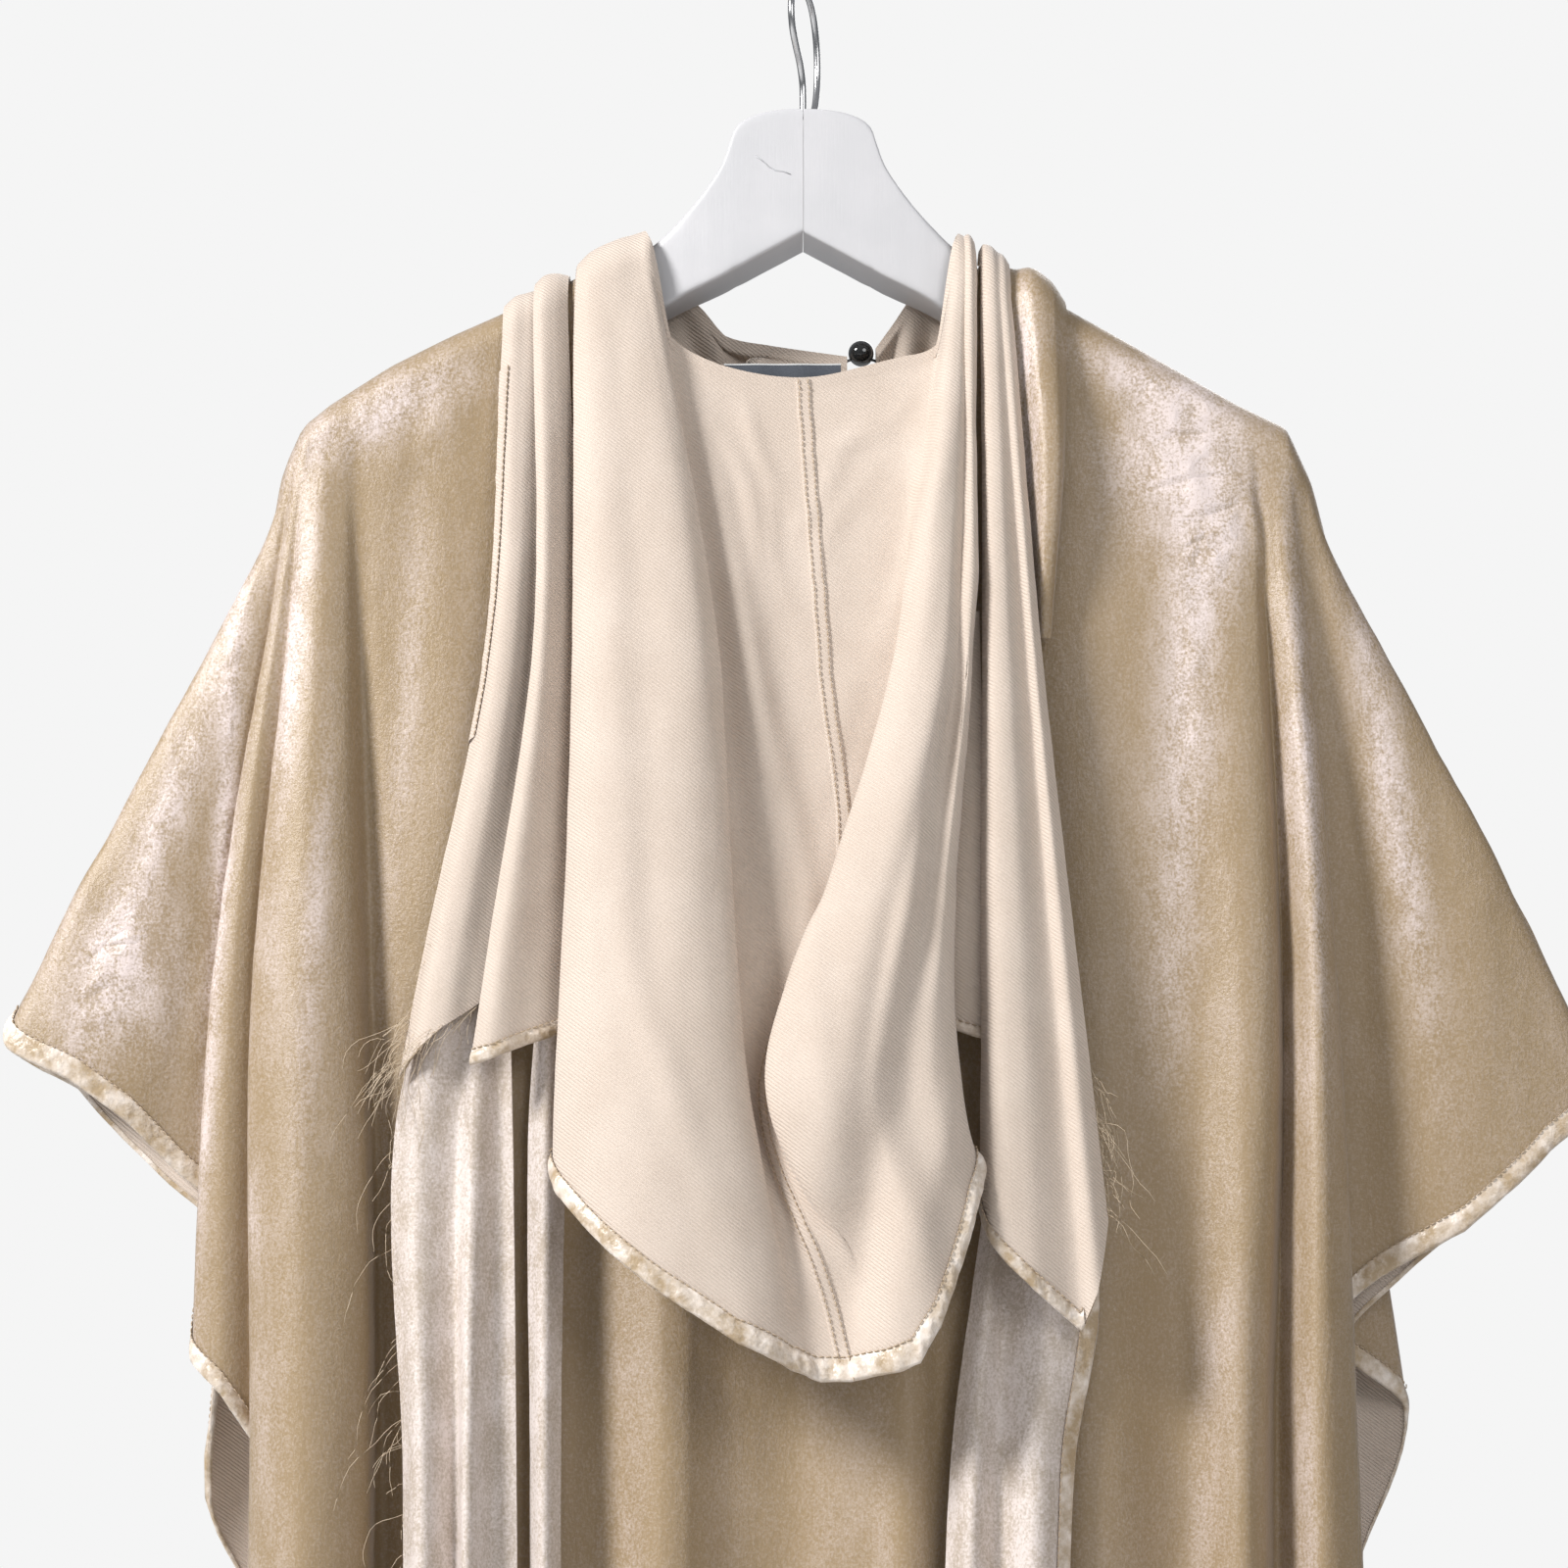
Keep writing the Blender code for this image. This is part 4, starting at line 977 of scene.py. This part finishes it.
def loose_threads(name, starts, lean, seed, material):
    """Frayed threads that leave a raw edge, curl and hang."""
    draw = random.Random(seed)
    shape = bmesh.new()
    for index, start in enumerate(starts):
        shortest, longest = THREAD_LENGTHS
        length = shortest + (longest - shortest) * draw.random() ** THREAD_FEW_LONG
        heading = Vector([along + draw.uniform(-spread, spread)
                          for along, spread in zip(lean, THREAD_SPREAD)]).normalized()
        point = start.copy()
        path = [point.copy()]
        for step in range(THREAD_STEPS):
            bends = [noise.noise(Vector((index * apart, step * THREAD_WAVE, seed + shift)))
                     for apart, shift in THREAD_CURLS]
            heading = (heading + Vector(bends) * THREAD_CURL + THREAD_SAG).normalized()
            point = point + heading * (length / THREAD_STEPS)
            path.append(point.copy())
        add_tube(shape, path, THREAD_RADIUS, THREAD_SIDES)
    return finish_shape(name, shape, material)


def start_material(name):
    """Material with its node tree and shader."""
    material = bpy.data.materials.new(name)
    material.use_nodes = True
    tree = material.node_tree
    return material, tree, tree.nodes["Principled BSDF"]


def set_inputs(node, **values):
    """Set plain input values of a shader node."""
    for key, value in values.items():
        node.inputs[key.replace("_", " ")].default_value = value


def add_node(tree, kind, **values):
    """Shader node with its plain input values set."""
    node = tree.nodes.new(kind)
    set_inputs(node, **values)
    return node


def object_place(tree, scale=(1.0, 1.0, 1.0), rotation=(0.0, 0.0, 0.0)):
    """Place on the object in metres, stretched and turned."""
    place = tree.nodes.new("ShaderNodeTexCoord")
    mapping = add_node(tree, "ShaderNodeMapping", Scale=scale, Rotation=rotation)
    tree.links.new(place.outputs["Object"], mapping.inputs["Vector"])
    return mapping.outputs["Vector"]


def grain(tree, vector, scale, detail=2.0, roughness=0.5):
    """Noise value over a place."""
    node = add_node(tree, "ShaderNodeTexNoise", Scale=scale, Detail=detail, Roughness=roughness)
    tree.links.new(vector, node.inputs["Vector"])
    return node.outputs["Fac"]


def ranged(tree, value, low, high, to_low=0.0, to_high=1.0):
    """Value stretched from one range to another."""
    node = add_node(tree, "ShaderNodeMapRange", From_Min=low, From_Max=high, To_Min=to_low, To_Max=to_high)
    tree.links.new(value, node.inputs["Value"])
    return node.outputs["Result"]


def combined(tree, operation, first, second):
    """Sum or product of two values, the second a socket or a number."""
    node = tree.nodes.new("ShaderNodeMath")
    node.operation = operation
    tree.links.new(first, node.inputs[0])
    if isinstance(second, float):
        node.inputs[1].default_value = second
    else:
        tree.links.new(second, node.inputs[1])
    return node.outputs["Value"]


def blended(tree, factor, first, second):
    """Colour between two, each a colour or a socket."""
    node = tree.nodes.new("ShaderNodeMix")
    node.data_type = "RGBA"
    tree.links.new(factor, node.inputs["Factor"])
    for key, colour in ((6, first), (7, second)):
        if isinstance(colour, tuple):
            node.inputs[key].default_value = colour
        else:
            tree.links.new(colour, node.inputs[key])
    return node.outputs[2]


def bumped(tree, shader, height, strength, distance, below=None):
    """Relief from a height, laid over an earlier relief."""
    node = add_node(tree, "ShaderNodeBump", Strength=strength, Distance=distance)
    tree.links.new(height, node.inputs["Height"])
    if below is not None:
        tree.links.new(below, node.inputs["Normal"])
    tree.links.new(node.outputs["Normal"], shader.inputs["Normal"])
    return node.outputs["Normal"]


def warped(tree, vector, scale, amount):
    """Place pushed about by noise, in metres."""
    push = add_node(tree, "ShaderNodeTexNoise", Scale=scale, Detail=3.0)
    tree.links.new(vector, push.inputs["Vector"])
    shift = tree.nodes.new("ShaderNodeVectorMath")
    shift.operation = "MULTIPLY_ADD"
    tree.links.new(push.outputs["Color"], shift.inputs[0])
    shift.inputs[1].default_value = (amount, amount, amount)
    tree.links.new(vector, shift.inputs[2])
    return shift.outputs["Vector"]


def crease_net(tree, vector, scale):
    """Net of sharp creases: low on the lines, high between them."""
    cells = add_node(tree, "ShaderNodeTexVoronoi", Scale=scale)
    cells.feature = "DISTANCE_TO_EDGE"
    tree.links.new(vector, cells.inputs["Vector"])
    return ranged(tree, cells.outputs["Distance"], 0.0, 0.34)


def pile_material(name, gold, silver, painted_sheen_base):
    """Short crushed pile: gold, turning silver as painted sheen where the painted sheen mask is high, lifted
    by crushed noise and specks as painted glints, with creased relief there.
    """
    material, tree, shader = start_material(name)
    place = object_place(tree)
    drawn = object_place(tree, (1.0, 1.0, 0.4))
    cloudy = grain(tree, drawn, 22.0, 4.0, 0.6)
    crushed = grain(tree, object_place(tree, (1.0, 1.0, 0.5)), 75.0, 6.0, 0.66)
    specks = grain(tree, place, 800.0, 3.0, 0.7)
    fibres = grain(tree, object_place(tree, (1.0, 1.0, 0.3)), 1500.0, 2.0, 0.6)
    slanted = object_place(tree, (0.8, 1.0, 1.4), (0.0, math.radians(40.0), 0.0))
    creases = crease_net(tree, warped(tree, slanted, 24.0, 0.06), 36.0)
    painted_sheen_mask = tree.nodes.new("ShaderNodeAttribute")
    painted_sheen_mask.attribute_name = "painted_sheen"
    # Painted sheen: the mask turns the pile from gold to silver, raised where the crushed noise and specks
    # are high as painted glints.
    lit = ranged(tree, combined(tree, "ADD", crushed, specks), 0.84, 1.18)
    turn = combined(tree, "MULTIPLY", combined(tree, "ADD", painted_sheen_mask.outputs["Fac"], painted_sheen_base),
                    combined(tree, "ADD", combined(tree, "MULTIPLY", lit, 0.95), 0.26))
    turn = combined(tree, "ADD", turn, ranged(tree, cloudy, 0.45, 0.75, 0.0, 0.14))
    turn = combined(tree, "ADD", turn, ranged(tree, specks, 0.35, 0.7, -0.1, 0.11))
    turn = combined(tree, "ADD", turn, ranged(tree, fibres, 0.3, 0.7, -0.06, 0.06))
    turn = ranged(tree, turn, 0.0, 1.0)
    tree.links.new(blended(tree, turn, gold, silver), shader.inputs["Base Color"])
    set_inputs(shader, Roughness=0.4, Specular_IOR_Level=0.6, Specular_Tint=(1.0, 0.92, 0.86, 1.0),
               Sheen_Weight=0.45, Sheen_Roughness=0.3, Sheen_Tint=(1.0, 0.93, 0.89, 1.0))
    pressed = combined(tree, "MULTIPLY", creases, ranged(tree, painted_sheen_mask.outputs["Fac"], 0.58, 1.0))
    relief = bumped(tree, shader, pressed, 0.6, 0.0016)
    relief = bumped(tree, shader, crushed, 0.28, 0.0022, relief)
    relief = bumped(tree, shader, specks, 0.5, 0.0005, relief)
    bumped(tree, shader, fibres, 0.35, 0.0003, relief)
    return material


def hem_material():
    """Pile turned round an edge: gold, turning silver in noise patches, and silver as painted highlight where
    the puckers stand up.
    """
    material, tree, shader = start_material("hem_pile")
    place = object_place(tree)
    patches = grain(tree, place, 75.0, 4.0, 0.6)
    puckers = grain(tree, place, 240.0, 2.0, 0.5)
    fibres = grain(tree, place, 1300.0, 2.0, 0.6)
    turn = ranged(tree, patches, 0.35, 0.7)
    # Painted highlight: the pucker relief also turns the colour silver on its crests.
    turn = combined(tree, "ADD", turn, ranged(tree, puckers, 0.3, 0.7, -0.22, 0.22))
    turn = ranged(tree, combined(tree, "ADD", turn, ranged(tree, fibres, 0.3, 0.7, -0.12, 0.12)), 0.0, 1.0)
    tree.links.new(blended(tree, turn, *HEM_COLOURS), shader.inputs["Base Color"])
    set_inputs(shader, Roughness=0.36, Specular_IOR_Level=0.6, Sheen_Weight=0.4, Sheen_Roughness=0.3)
    relief = bumped(tree, shader, puckers, 0.7, 0.0014)
    bumped(tree, shader, fibres, 0.3, 0.0003, relief)
    return material


def weave_material(name, colour, shade):
    """Smooth wrong side with a fine diagonal weave."""
    material, tree, shader = start_material(name)
    place = object_place(tree)
    twill = add_node(tree, "ShaderNodeTexWave", Scale=235.0, Distortion=0.8, Detail=2.0, Detail_Scale=3.0)
    slanted = object_place(tree, rotation=(0.0, math.radians(52.0), 0.0))
    tree.links.new(slanted, twill.inputs["Vector"])
    crepe = grain(tree, place, 1500.0, 2.0, 0.6)
    tone = ranged(tree, grain(tree, place, 34.0, 3.0, 0.5), 0.35, 0.65, 0.0, 0.4)
    tone = combined(tree, "ADD", tone, ranged(tree, crepe, 0.3, 0.7, -0.25, 0.25))
    tone = combined(tree, "ADD", tone, ranged(tree, twill.outputs["Fac"], 0.0, 1.0, -0.3, 0.3))
    tone = ranged(tree, tone, -0.3, 1.0)
    tree.links.new(blended(tree, tone, colour, shade), shader.inputs["Base Color"])
    set_inputs(shader, Roughness=0.62, Specular_IOR_Level=0.3, Sheen_Weight=0.25, Sheen_Roughness=0.5)
    relief = bumped(tree, shader, crepe, 0.4, 0.0004)
    bumped(tree, shader, twill.outputs["Fac"], 0.6, 0.0004, relief)
    return material


def plain_material(name, colour, shade, roughness, metallic, coat, scale, relief):
    """Simple finish with a little uneven colour and relief."""
    material, tree, shader = start_material(name)
    place = object_place(tree)
    value = grain(tree, place, scale, 4.0, 0.6)
    tree.links.new(blended(tree, ranged(tree, value, 0.3, 0.7), colour, shade), shader.inputs["Base Color"])
    set_inputs(shader, Roughness=roughness, Metallic=metallic, Coat_Weight=coat)
    bumped(tree, shader, value, relief, 0.0002)
    return material


def paint_material():
    """White satin paint over wood whose grain shows faintly."""
    material, tree, shader = start_material("paint")
    fibres = grain(tree, object_place(tree, (1.0, 1.0, 0.06)), 900.0, 3.0, 0.6)
    patches = grain(tree, object_place(tree), 40.0, 3.0, 0.5)
    tree.links.new(blended(tree, ranged(tree, patches, 0.3, 0.7), *PAINT), shader.inputs["Base Color"])
    set_inputs(shader, Roughness=0.42)
    relief = bumped(tree, shader, fibres, 0.22, 0.0003)
    bumped(tree, shader, patches, 0.15, 0.0008, relief)
    return material


def make_materials():
    """Every finish in the scene."""
    finish = {name: pile_material(name, *values) for name, values in PILES.items()}
    finish["hem_pile"] = hem_material()
    finish["weave"] = weave_material("weave", *WEAVE)
    finish["paint"] = paint_material()
    for key, values in PLAIN_FINISHES.items():
        finish[key] = plain_material(*values)
    return finish


def dress(nodes):
    """Hide the frame parts that a sheet of cloth stands for."""
    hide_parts(*nodes)


def build_panels(finish):
    """Back and two fronts, with turned hems along the wings' lower edges."""
    for name, folds, side, seed in PANELS:
        lines = cloth_grid(folds, PANEL_LEVELS, PANEL_ROWS, side, PANEL_PARTS, 0.5)
        creases = BACK_CREASES if side == NEAR else ()
        lines = rumple(lines, side, creases, *PANEL_RUMPLE, seed)
        piece = sheet_mesh("dressed_" + name, lines, side, finish["pile"], finish["weave"])
        mark_painted_sheen(piece, PAINTED_SHEEN_PATCHES)
        hem, track = hem_band("hem_" + name, lines, "bottom", side, *PANEL_HEM, seed, finish["hem_pile"])
        stitches = stitch_row("stitches_" + name, track, finish["thread"])
        dress(PANEL_NODES[name])


def build_hood(finish):
    """Hood that hangs down the back wrong side out: its weave, its seam and its turned hem."""
    lines = cloth_grid(HOOD_LEFT_FOLDS + HOOD_RIGHT_FOLDS, HOOD_LEVELS, HOOD_ROWS, NEAR, HOOD_PARTS)
    lines = rumple(lines, NEAR, HOOD_CREASES, *HOOD_RUMPLE, HOOD_SEED)
    piece = sheet_mesh("dressed_hood", lines, -NEAR, finish["pile"], finish["weave"])
    normals = grid_normals(lines)
    hem, track = hem_band("hem_hood", lines, "bottom", NEAR, *HOOD_HEM, HOOD_HEM_SEED, finish["hem_pile"])
    stitches = stitch_row("stitches_hood_hem", track, finish["thread"])
    seam = len(HOOD_LEFT_FOLDS) * HOOD_PARTS
    band, left_track, right_track = seam_band(lines, normals, seam)
    felled = ribbon_mesh("seam_hood", band, finish["weave"])
    left_row = stitch_row("stitches_hood_left", left_track, finish["thread"])
    right_row = stitch_row("stitches_hood_right", right_track, finish["thread"])
    nodes = ["hood_left", "hood_right"]
    dress(nodes)


def seam_band(lines, normals, seam):
    """Felled seam: a flat raised band down the middle of the hood, with two rows of stitches."""
    grid = []
    tracks = ([], [])
    for j in range(2, len(lines[seam])):
        row = []
        out = normals[seam][j] * NEAR
        pull = noise.noise(Vector((j * SEAM_WAVE, SEAM_SEED, 0.0))) * SEAM_PULL
        for share, lift in SEAM_FORM:
            place = surface_near(lines, seam, j, SEAM_HALF * share + pull)
            row.append(place + out * (CLOTH * 0.5 + SEAM_BASE + SEAM_LIFT * lift))
        grid.append(row)
        for track, share in zip(tracks, SEAM_ROWS):
            place = surface_near(lines, seam, j, SEAM_HALF * share + pull)
            track.append((place + out * (CLOTH * 0.5 + SEAM_STITCHES), out))
    return grid, tracks[0], tracks[1]


def surface_near(lines, column, row, distance):
    """Point on a grid a short way across it from one of its points."""
    step = 1 if distance >= 0.0 else -1
    left = abs(distance)
    spot = lines[column][row]
    index = column
    while 0 <= index + step < len(lines):
        following = lines[index + step][row]
        gap = (following - spot).length
        if gap >= left:
            return spot.lerp(following, left / max(gap, SHORT_STEP * MM))
        left -= gap
        spot = following
        index += step
    return spot


def build_tails(finish):
    """Scarf ends: wrong side out above, pile side out below, with hems and raw edges."""
    for name, folds, levels, slot, pile_side, seed, edges in TAILS:
        lines = cloth_grid(folds, levels, STRIP_ROWS, NEAR, STRIP_PARTS)
        lines = rumple(lines, NEAR, (), *STRIP_RUMPLE, seed)
        # The lower scarf ends take the copy of the pile painted with more sheen.
        pile = finish["pile_painted_sheen"] if slot == "pile_cloth" and name != "shoulder_roll" else finish["pile"]
        piece = sheet_mesh("dressed_" + name, lines, pile_side, pile, finish["weave"])
        mark_painted_sheen(piece, PAINTED_SHEEN_PATCHES)
        for edge, width, kind, first, last in edges:
            label = name + "_" + edge
            if kind == "raw":
                raw_edge(label, lines, edge, first, last, seed, finish["fray"])
                continue
            hem, track = hem_band("hem_" + label, lines, edge, NEAR, width, STRIP_PUFF, seed, finish[kind],
                                  (first, last))
            stitch_row("stitches_" + label, track, finish["thread"])
        dress([name])


def raw_edge(label, lines, edge, first, last, seed, material):
    """Loose threads along part of a cut edge."""
    draw = random.Random(seed)
    normals = grid_normals(lines)
    places = [row[0][0] for row in along_edge(lines, normals, edge, [0.0])]
    places = places[int(first * (len(places) - 1)):int(last * (len(places) - 1)) + 1]
    starts = []
    for _number in range(THREADS):
        index = draw.randrange(len(places) - 1)
        starts.append(places[index].lerp(places[index + 1], draw.random()))
    lean = (-0.8, -0.2, -0.5) if edge != "right" else (0.8, -0.2, -0.5)
    return loose_threads("threads_" + label, starts, lean, seed, material)


def build_collars(finish):
    """Gathered neck bands on the far side."""
    for name, folds, seed in COLLARS:
        lines = cloth_grid(folds, COLLAR_LEVELS, COLLAR_ROWS, FAR, STRIP_PARTS)
        lines = rumple(lines, FAR, (), *COLLAR_RUMPLE, seed)
        piece = sheet_mesh("dressed_" + name, lines, FAR, finish["weave"], finish["weave"])
        dress([name])


def hanger_sections():
    """Hanger sections with rounded steps between the measured ones."""
    points = [Vector((row[0], row[1], row[2])) for row in HANGER_SECTIONS]
    shapes = [Vector((row[3], row[4], 0.0)) for row in HANGER_SECTIONS]
    sections = []
    for index in range(len(points) - 1):
        for step in range(HANGER_STEPS):
            share = step / HANGER_STEPS
            sections.append((curve_point(points, index, share), shapes[index].lerp(shapes[index + 1], share)))
    sections.append((points[-1], shapes[-1]))
    return sections


def build_hanger(finish):
    """Both halves of the painted hanger, with the joint between them."""
    for name, side in (("hanger_left", -1.0), ("hanger_right", 1.0)):
        shape = bmesh.new()
        rings = []
        for place, form in hanger_sections():
            across, top, under = place
            middle = (top + under) / 2.0
            half = (top - under) / 2.0
            droop = max(across - ARM_START, 0.0) * RIGHT_ARM_DROOP if side > 0 else 0.0
            ring = []
            for k in range(HANGER_ROUNDNESS):
                angle = 2.0 * math.pi * (k + 0.5) / HANGER_ROUNDNESS
                c = math.cos(angle)
                s = math.sin(angle)
                y = math.copysign(abs(c) ** (2.0 / form.y), c) * form.x
                z = middle - droop + math.copysign(abs(s) ** (2.0 / form.y), s) * half
                ring.append(shape.verts.new(Vector((side * across, y, z)) * MM))
            rings.append(ring)
        for a, b in zip(rings, rings[1:]):
            for k in range(HANGER_ROUNDNESS):
                after = (k + 1) % HANGER_ROUNDNESS
                shape.faces.new((a[k], a[after], b[after], b[k])).smooth = True
        for end in (rings[0], rings[-1]):
            for edge in shape.faces.new(end).edges:
                edge.smooth = False
        piece = finish_shape("painted_" + name, shape, finish["paint"])
        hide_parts(name)
    crack = bmesh.new()
    path = [Vector((x * MM, -HANGER_FACE * MM, z * MM)) for x, z in CRACK]
    add_tube(crack, path, CRACK_WIDTH, 5)
    finish_shape("paint_crack", crack, finish["crack"])


def build_hook(finish):
    """Steel wire of the hook."""
    across = math.cos(HOOK_TURN)
    away = math.sin(HOOK_TURN)
    knots = [Vector((place * across, place * away, height)) * MM for _bend, place, height in HOOK_BENDS]
    path = []
    for index in range(len(knots) - 1):
        for step in range(HOOK_STEPS):
            path.append(curve_point(knots, index, step / HOOK_STEPS))
    path.append(knots[-1])
    shape = bmesh.new()
    add_tube(shape, path, HOOK_WIRE, 20)
    piece = finish_shape("wire_hook", shape, finish["steel"])
    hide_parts("hook")


def build_bead(finish):
    """Glossy bead with the thread loop that holds it."""
    shape = bmesh.new()
    bmesh.ops.create_uvsphere(shape, u_segments=48, v_segments=32, radius=BEAD_RADIUS)
    bmesh.ops.translate(shape, verts=shape.verts, vec=BEAD_CENTRE)
    for face in shape.faces:
        face.smooth = True
    piece = finish_shape("glossy_bead", shape, finish["bead"])
    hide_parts("bead")
    centre = Vector(BEAD_CENTRE)
    loop = bmesh.new()
    for side in (-1.0, 1.0):
        path = []
        for step in range(9):
            share = step / 8.0
            offset = Vector((side * (0.004 + 0.006 * share), -0.001 * share, -0.003 - 0.004 * share * share))
            path.append(centre + offset)
        add_tube(loop, path, 0.0007, 8)
    finish_shape("bead_loop", loop, finish["bead"])


def build_label(finish):
    """Blank woven label with a pale selvedge on its top edge."""
    for name, drop, height, depth, material in (
        ("woven_label", 0.0, LABEL_SIZE[2], LABEL_SIZE[1], finish["label"]),
        ("label_selvedge", LABEL_SIZE[2] / 2.0, 0.0007, LABEL_SIZE[1] * 1.6, finish["selvedge"]),
    ):
        grid = []
        for i in range(25):
            x = LABEL_CENTRE[0] + LABEL_SIZE[0] * (i / 24.0 - 0.5)
            wave = 0.00025 * math.sin(i * 0.7)
            column = []
            for j in range(9):
                z = LABEL_CENTRE[2] + drop + height * (0.5 - j / 8.0)
                column.append(Vector((x, LABEL_CENTRE[1] + wave, z)))
            grid.append(column)
        piece = sheet_mesh(name, grid, FAR, material, material, depth)
        if name == "woven_label":
            dress(["label"])


def add_object(name, data):
    """Put a lamp or the camera in the scene."""
    thing = bpy.data.objects.new(name, data)
    bpy.context.scene.collection.objects.link(thing)
    return thing


def build_floor(finish):
    """Pale floor below the hem."""
    bpy.ops.mesh.primitive_plane_add(size=FLOOR_SIZE, location=(0.0, 0.0, FLOOR_HEIGHT))
    floor = bpy.context.object
    floor.name = "floor"
    floor.data.materials.append(finish["floor"])


def build_lights():
    """Soft round lamps."""
    for name, place, aim, size, power in LIGHTS:
        data = bpy.data.lights.new(name, "AREA")
        data.shape = "DISK"
        data.size = size
        data.energy = power
        lamp = add_object(name, data)
        lamp.location = place
        lamp.rotation_euler = (Vector(aim) - Vector(place)).to_track_quat("-Z", "Y").to_euler()


def build_world():
    """Pale backdrop for the camera, and a soft light that is darker from below."""
    world = bpy.data.worlds.new("pale_studio")
    world.use_nodes = True
    tree = world.node_tree
    sky = tree.nodes.new("ShaderNodeTexCoord")
    parts = tree.nodes.new("ShaderNodeSeparateXYZ")
    tree.links.new(sky.outputs["Generated"], parts.inputs["Vector"])
    tone = blended(tree, ranged(tree, parts.outputs["Z"], -0.5, 0.7), GROUND, SKY)
    light = tree.nodes["Background"]
    tree.links.new(tone, light.inputs["Color"])
    set_inputs(light, Strength=AMBIENT)
    seen = add_node(tree, "ShaderNodeBackground", Color=BACKDROP)
    path = tree.nodes.new("ShaderNodeLightPath")
    mix = tree.nodes.new("ShaderNodeMixShader")
    tree.links.new(path.outputs["Is Camera Ray"], mix.inputs["Fac"])
    tree.links.new(light.outputs["Background"], mix.inputs[1])
    tree.links.new(seen.outputs["Background"], mix.inputs[2])
    tree.links.new(mix.outputs["Shader"], tree.nodes["World Output"].inputs["Surface"])
    bpy.context.scene.world = world


def build_camera():
    """Camera at the photograph's angle, and its plain colours."""
    data = bpy.data.cameras.new("photo_camera")
    data.sensor_width = SENSOR
    data.lens = LENS
    camera = add_object("photo_camera", data)
    camera.location = CAMERA_PLACE
    camera.rotation_euler = (CAMERA_TILT, 0.0, 0.0)
    bpy.context.scene.camera = camera
    bpy.context.scene.view_settings.view_transform = "Standard"


def main():
    """Dress the cloak and light it."""
    finish = make_materials()
    build_floor(finish)
    build_lights()
    build_world()
    build_camera()
    build_panels(finish)
    build_hood(finish)
    build_tails(finish)
    build_collars(finish)
    build_hanger(finish)
    build_hook(finish)
    build_bead(finish)
    build_label(finish)


main()
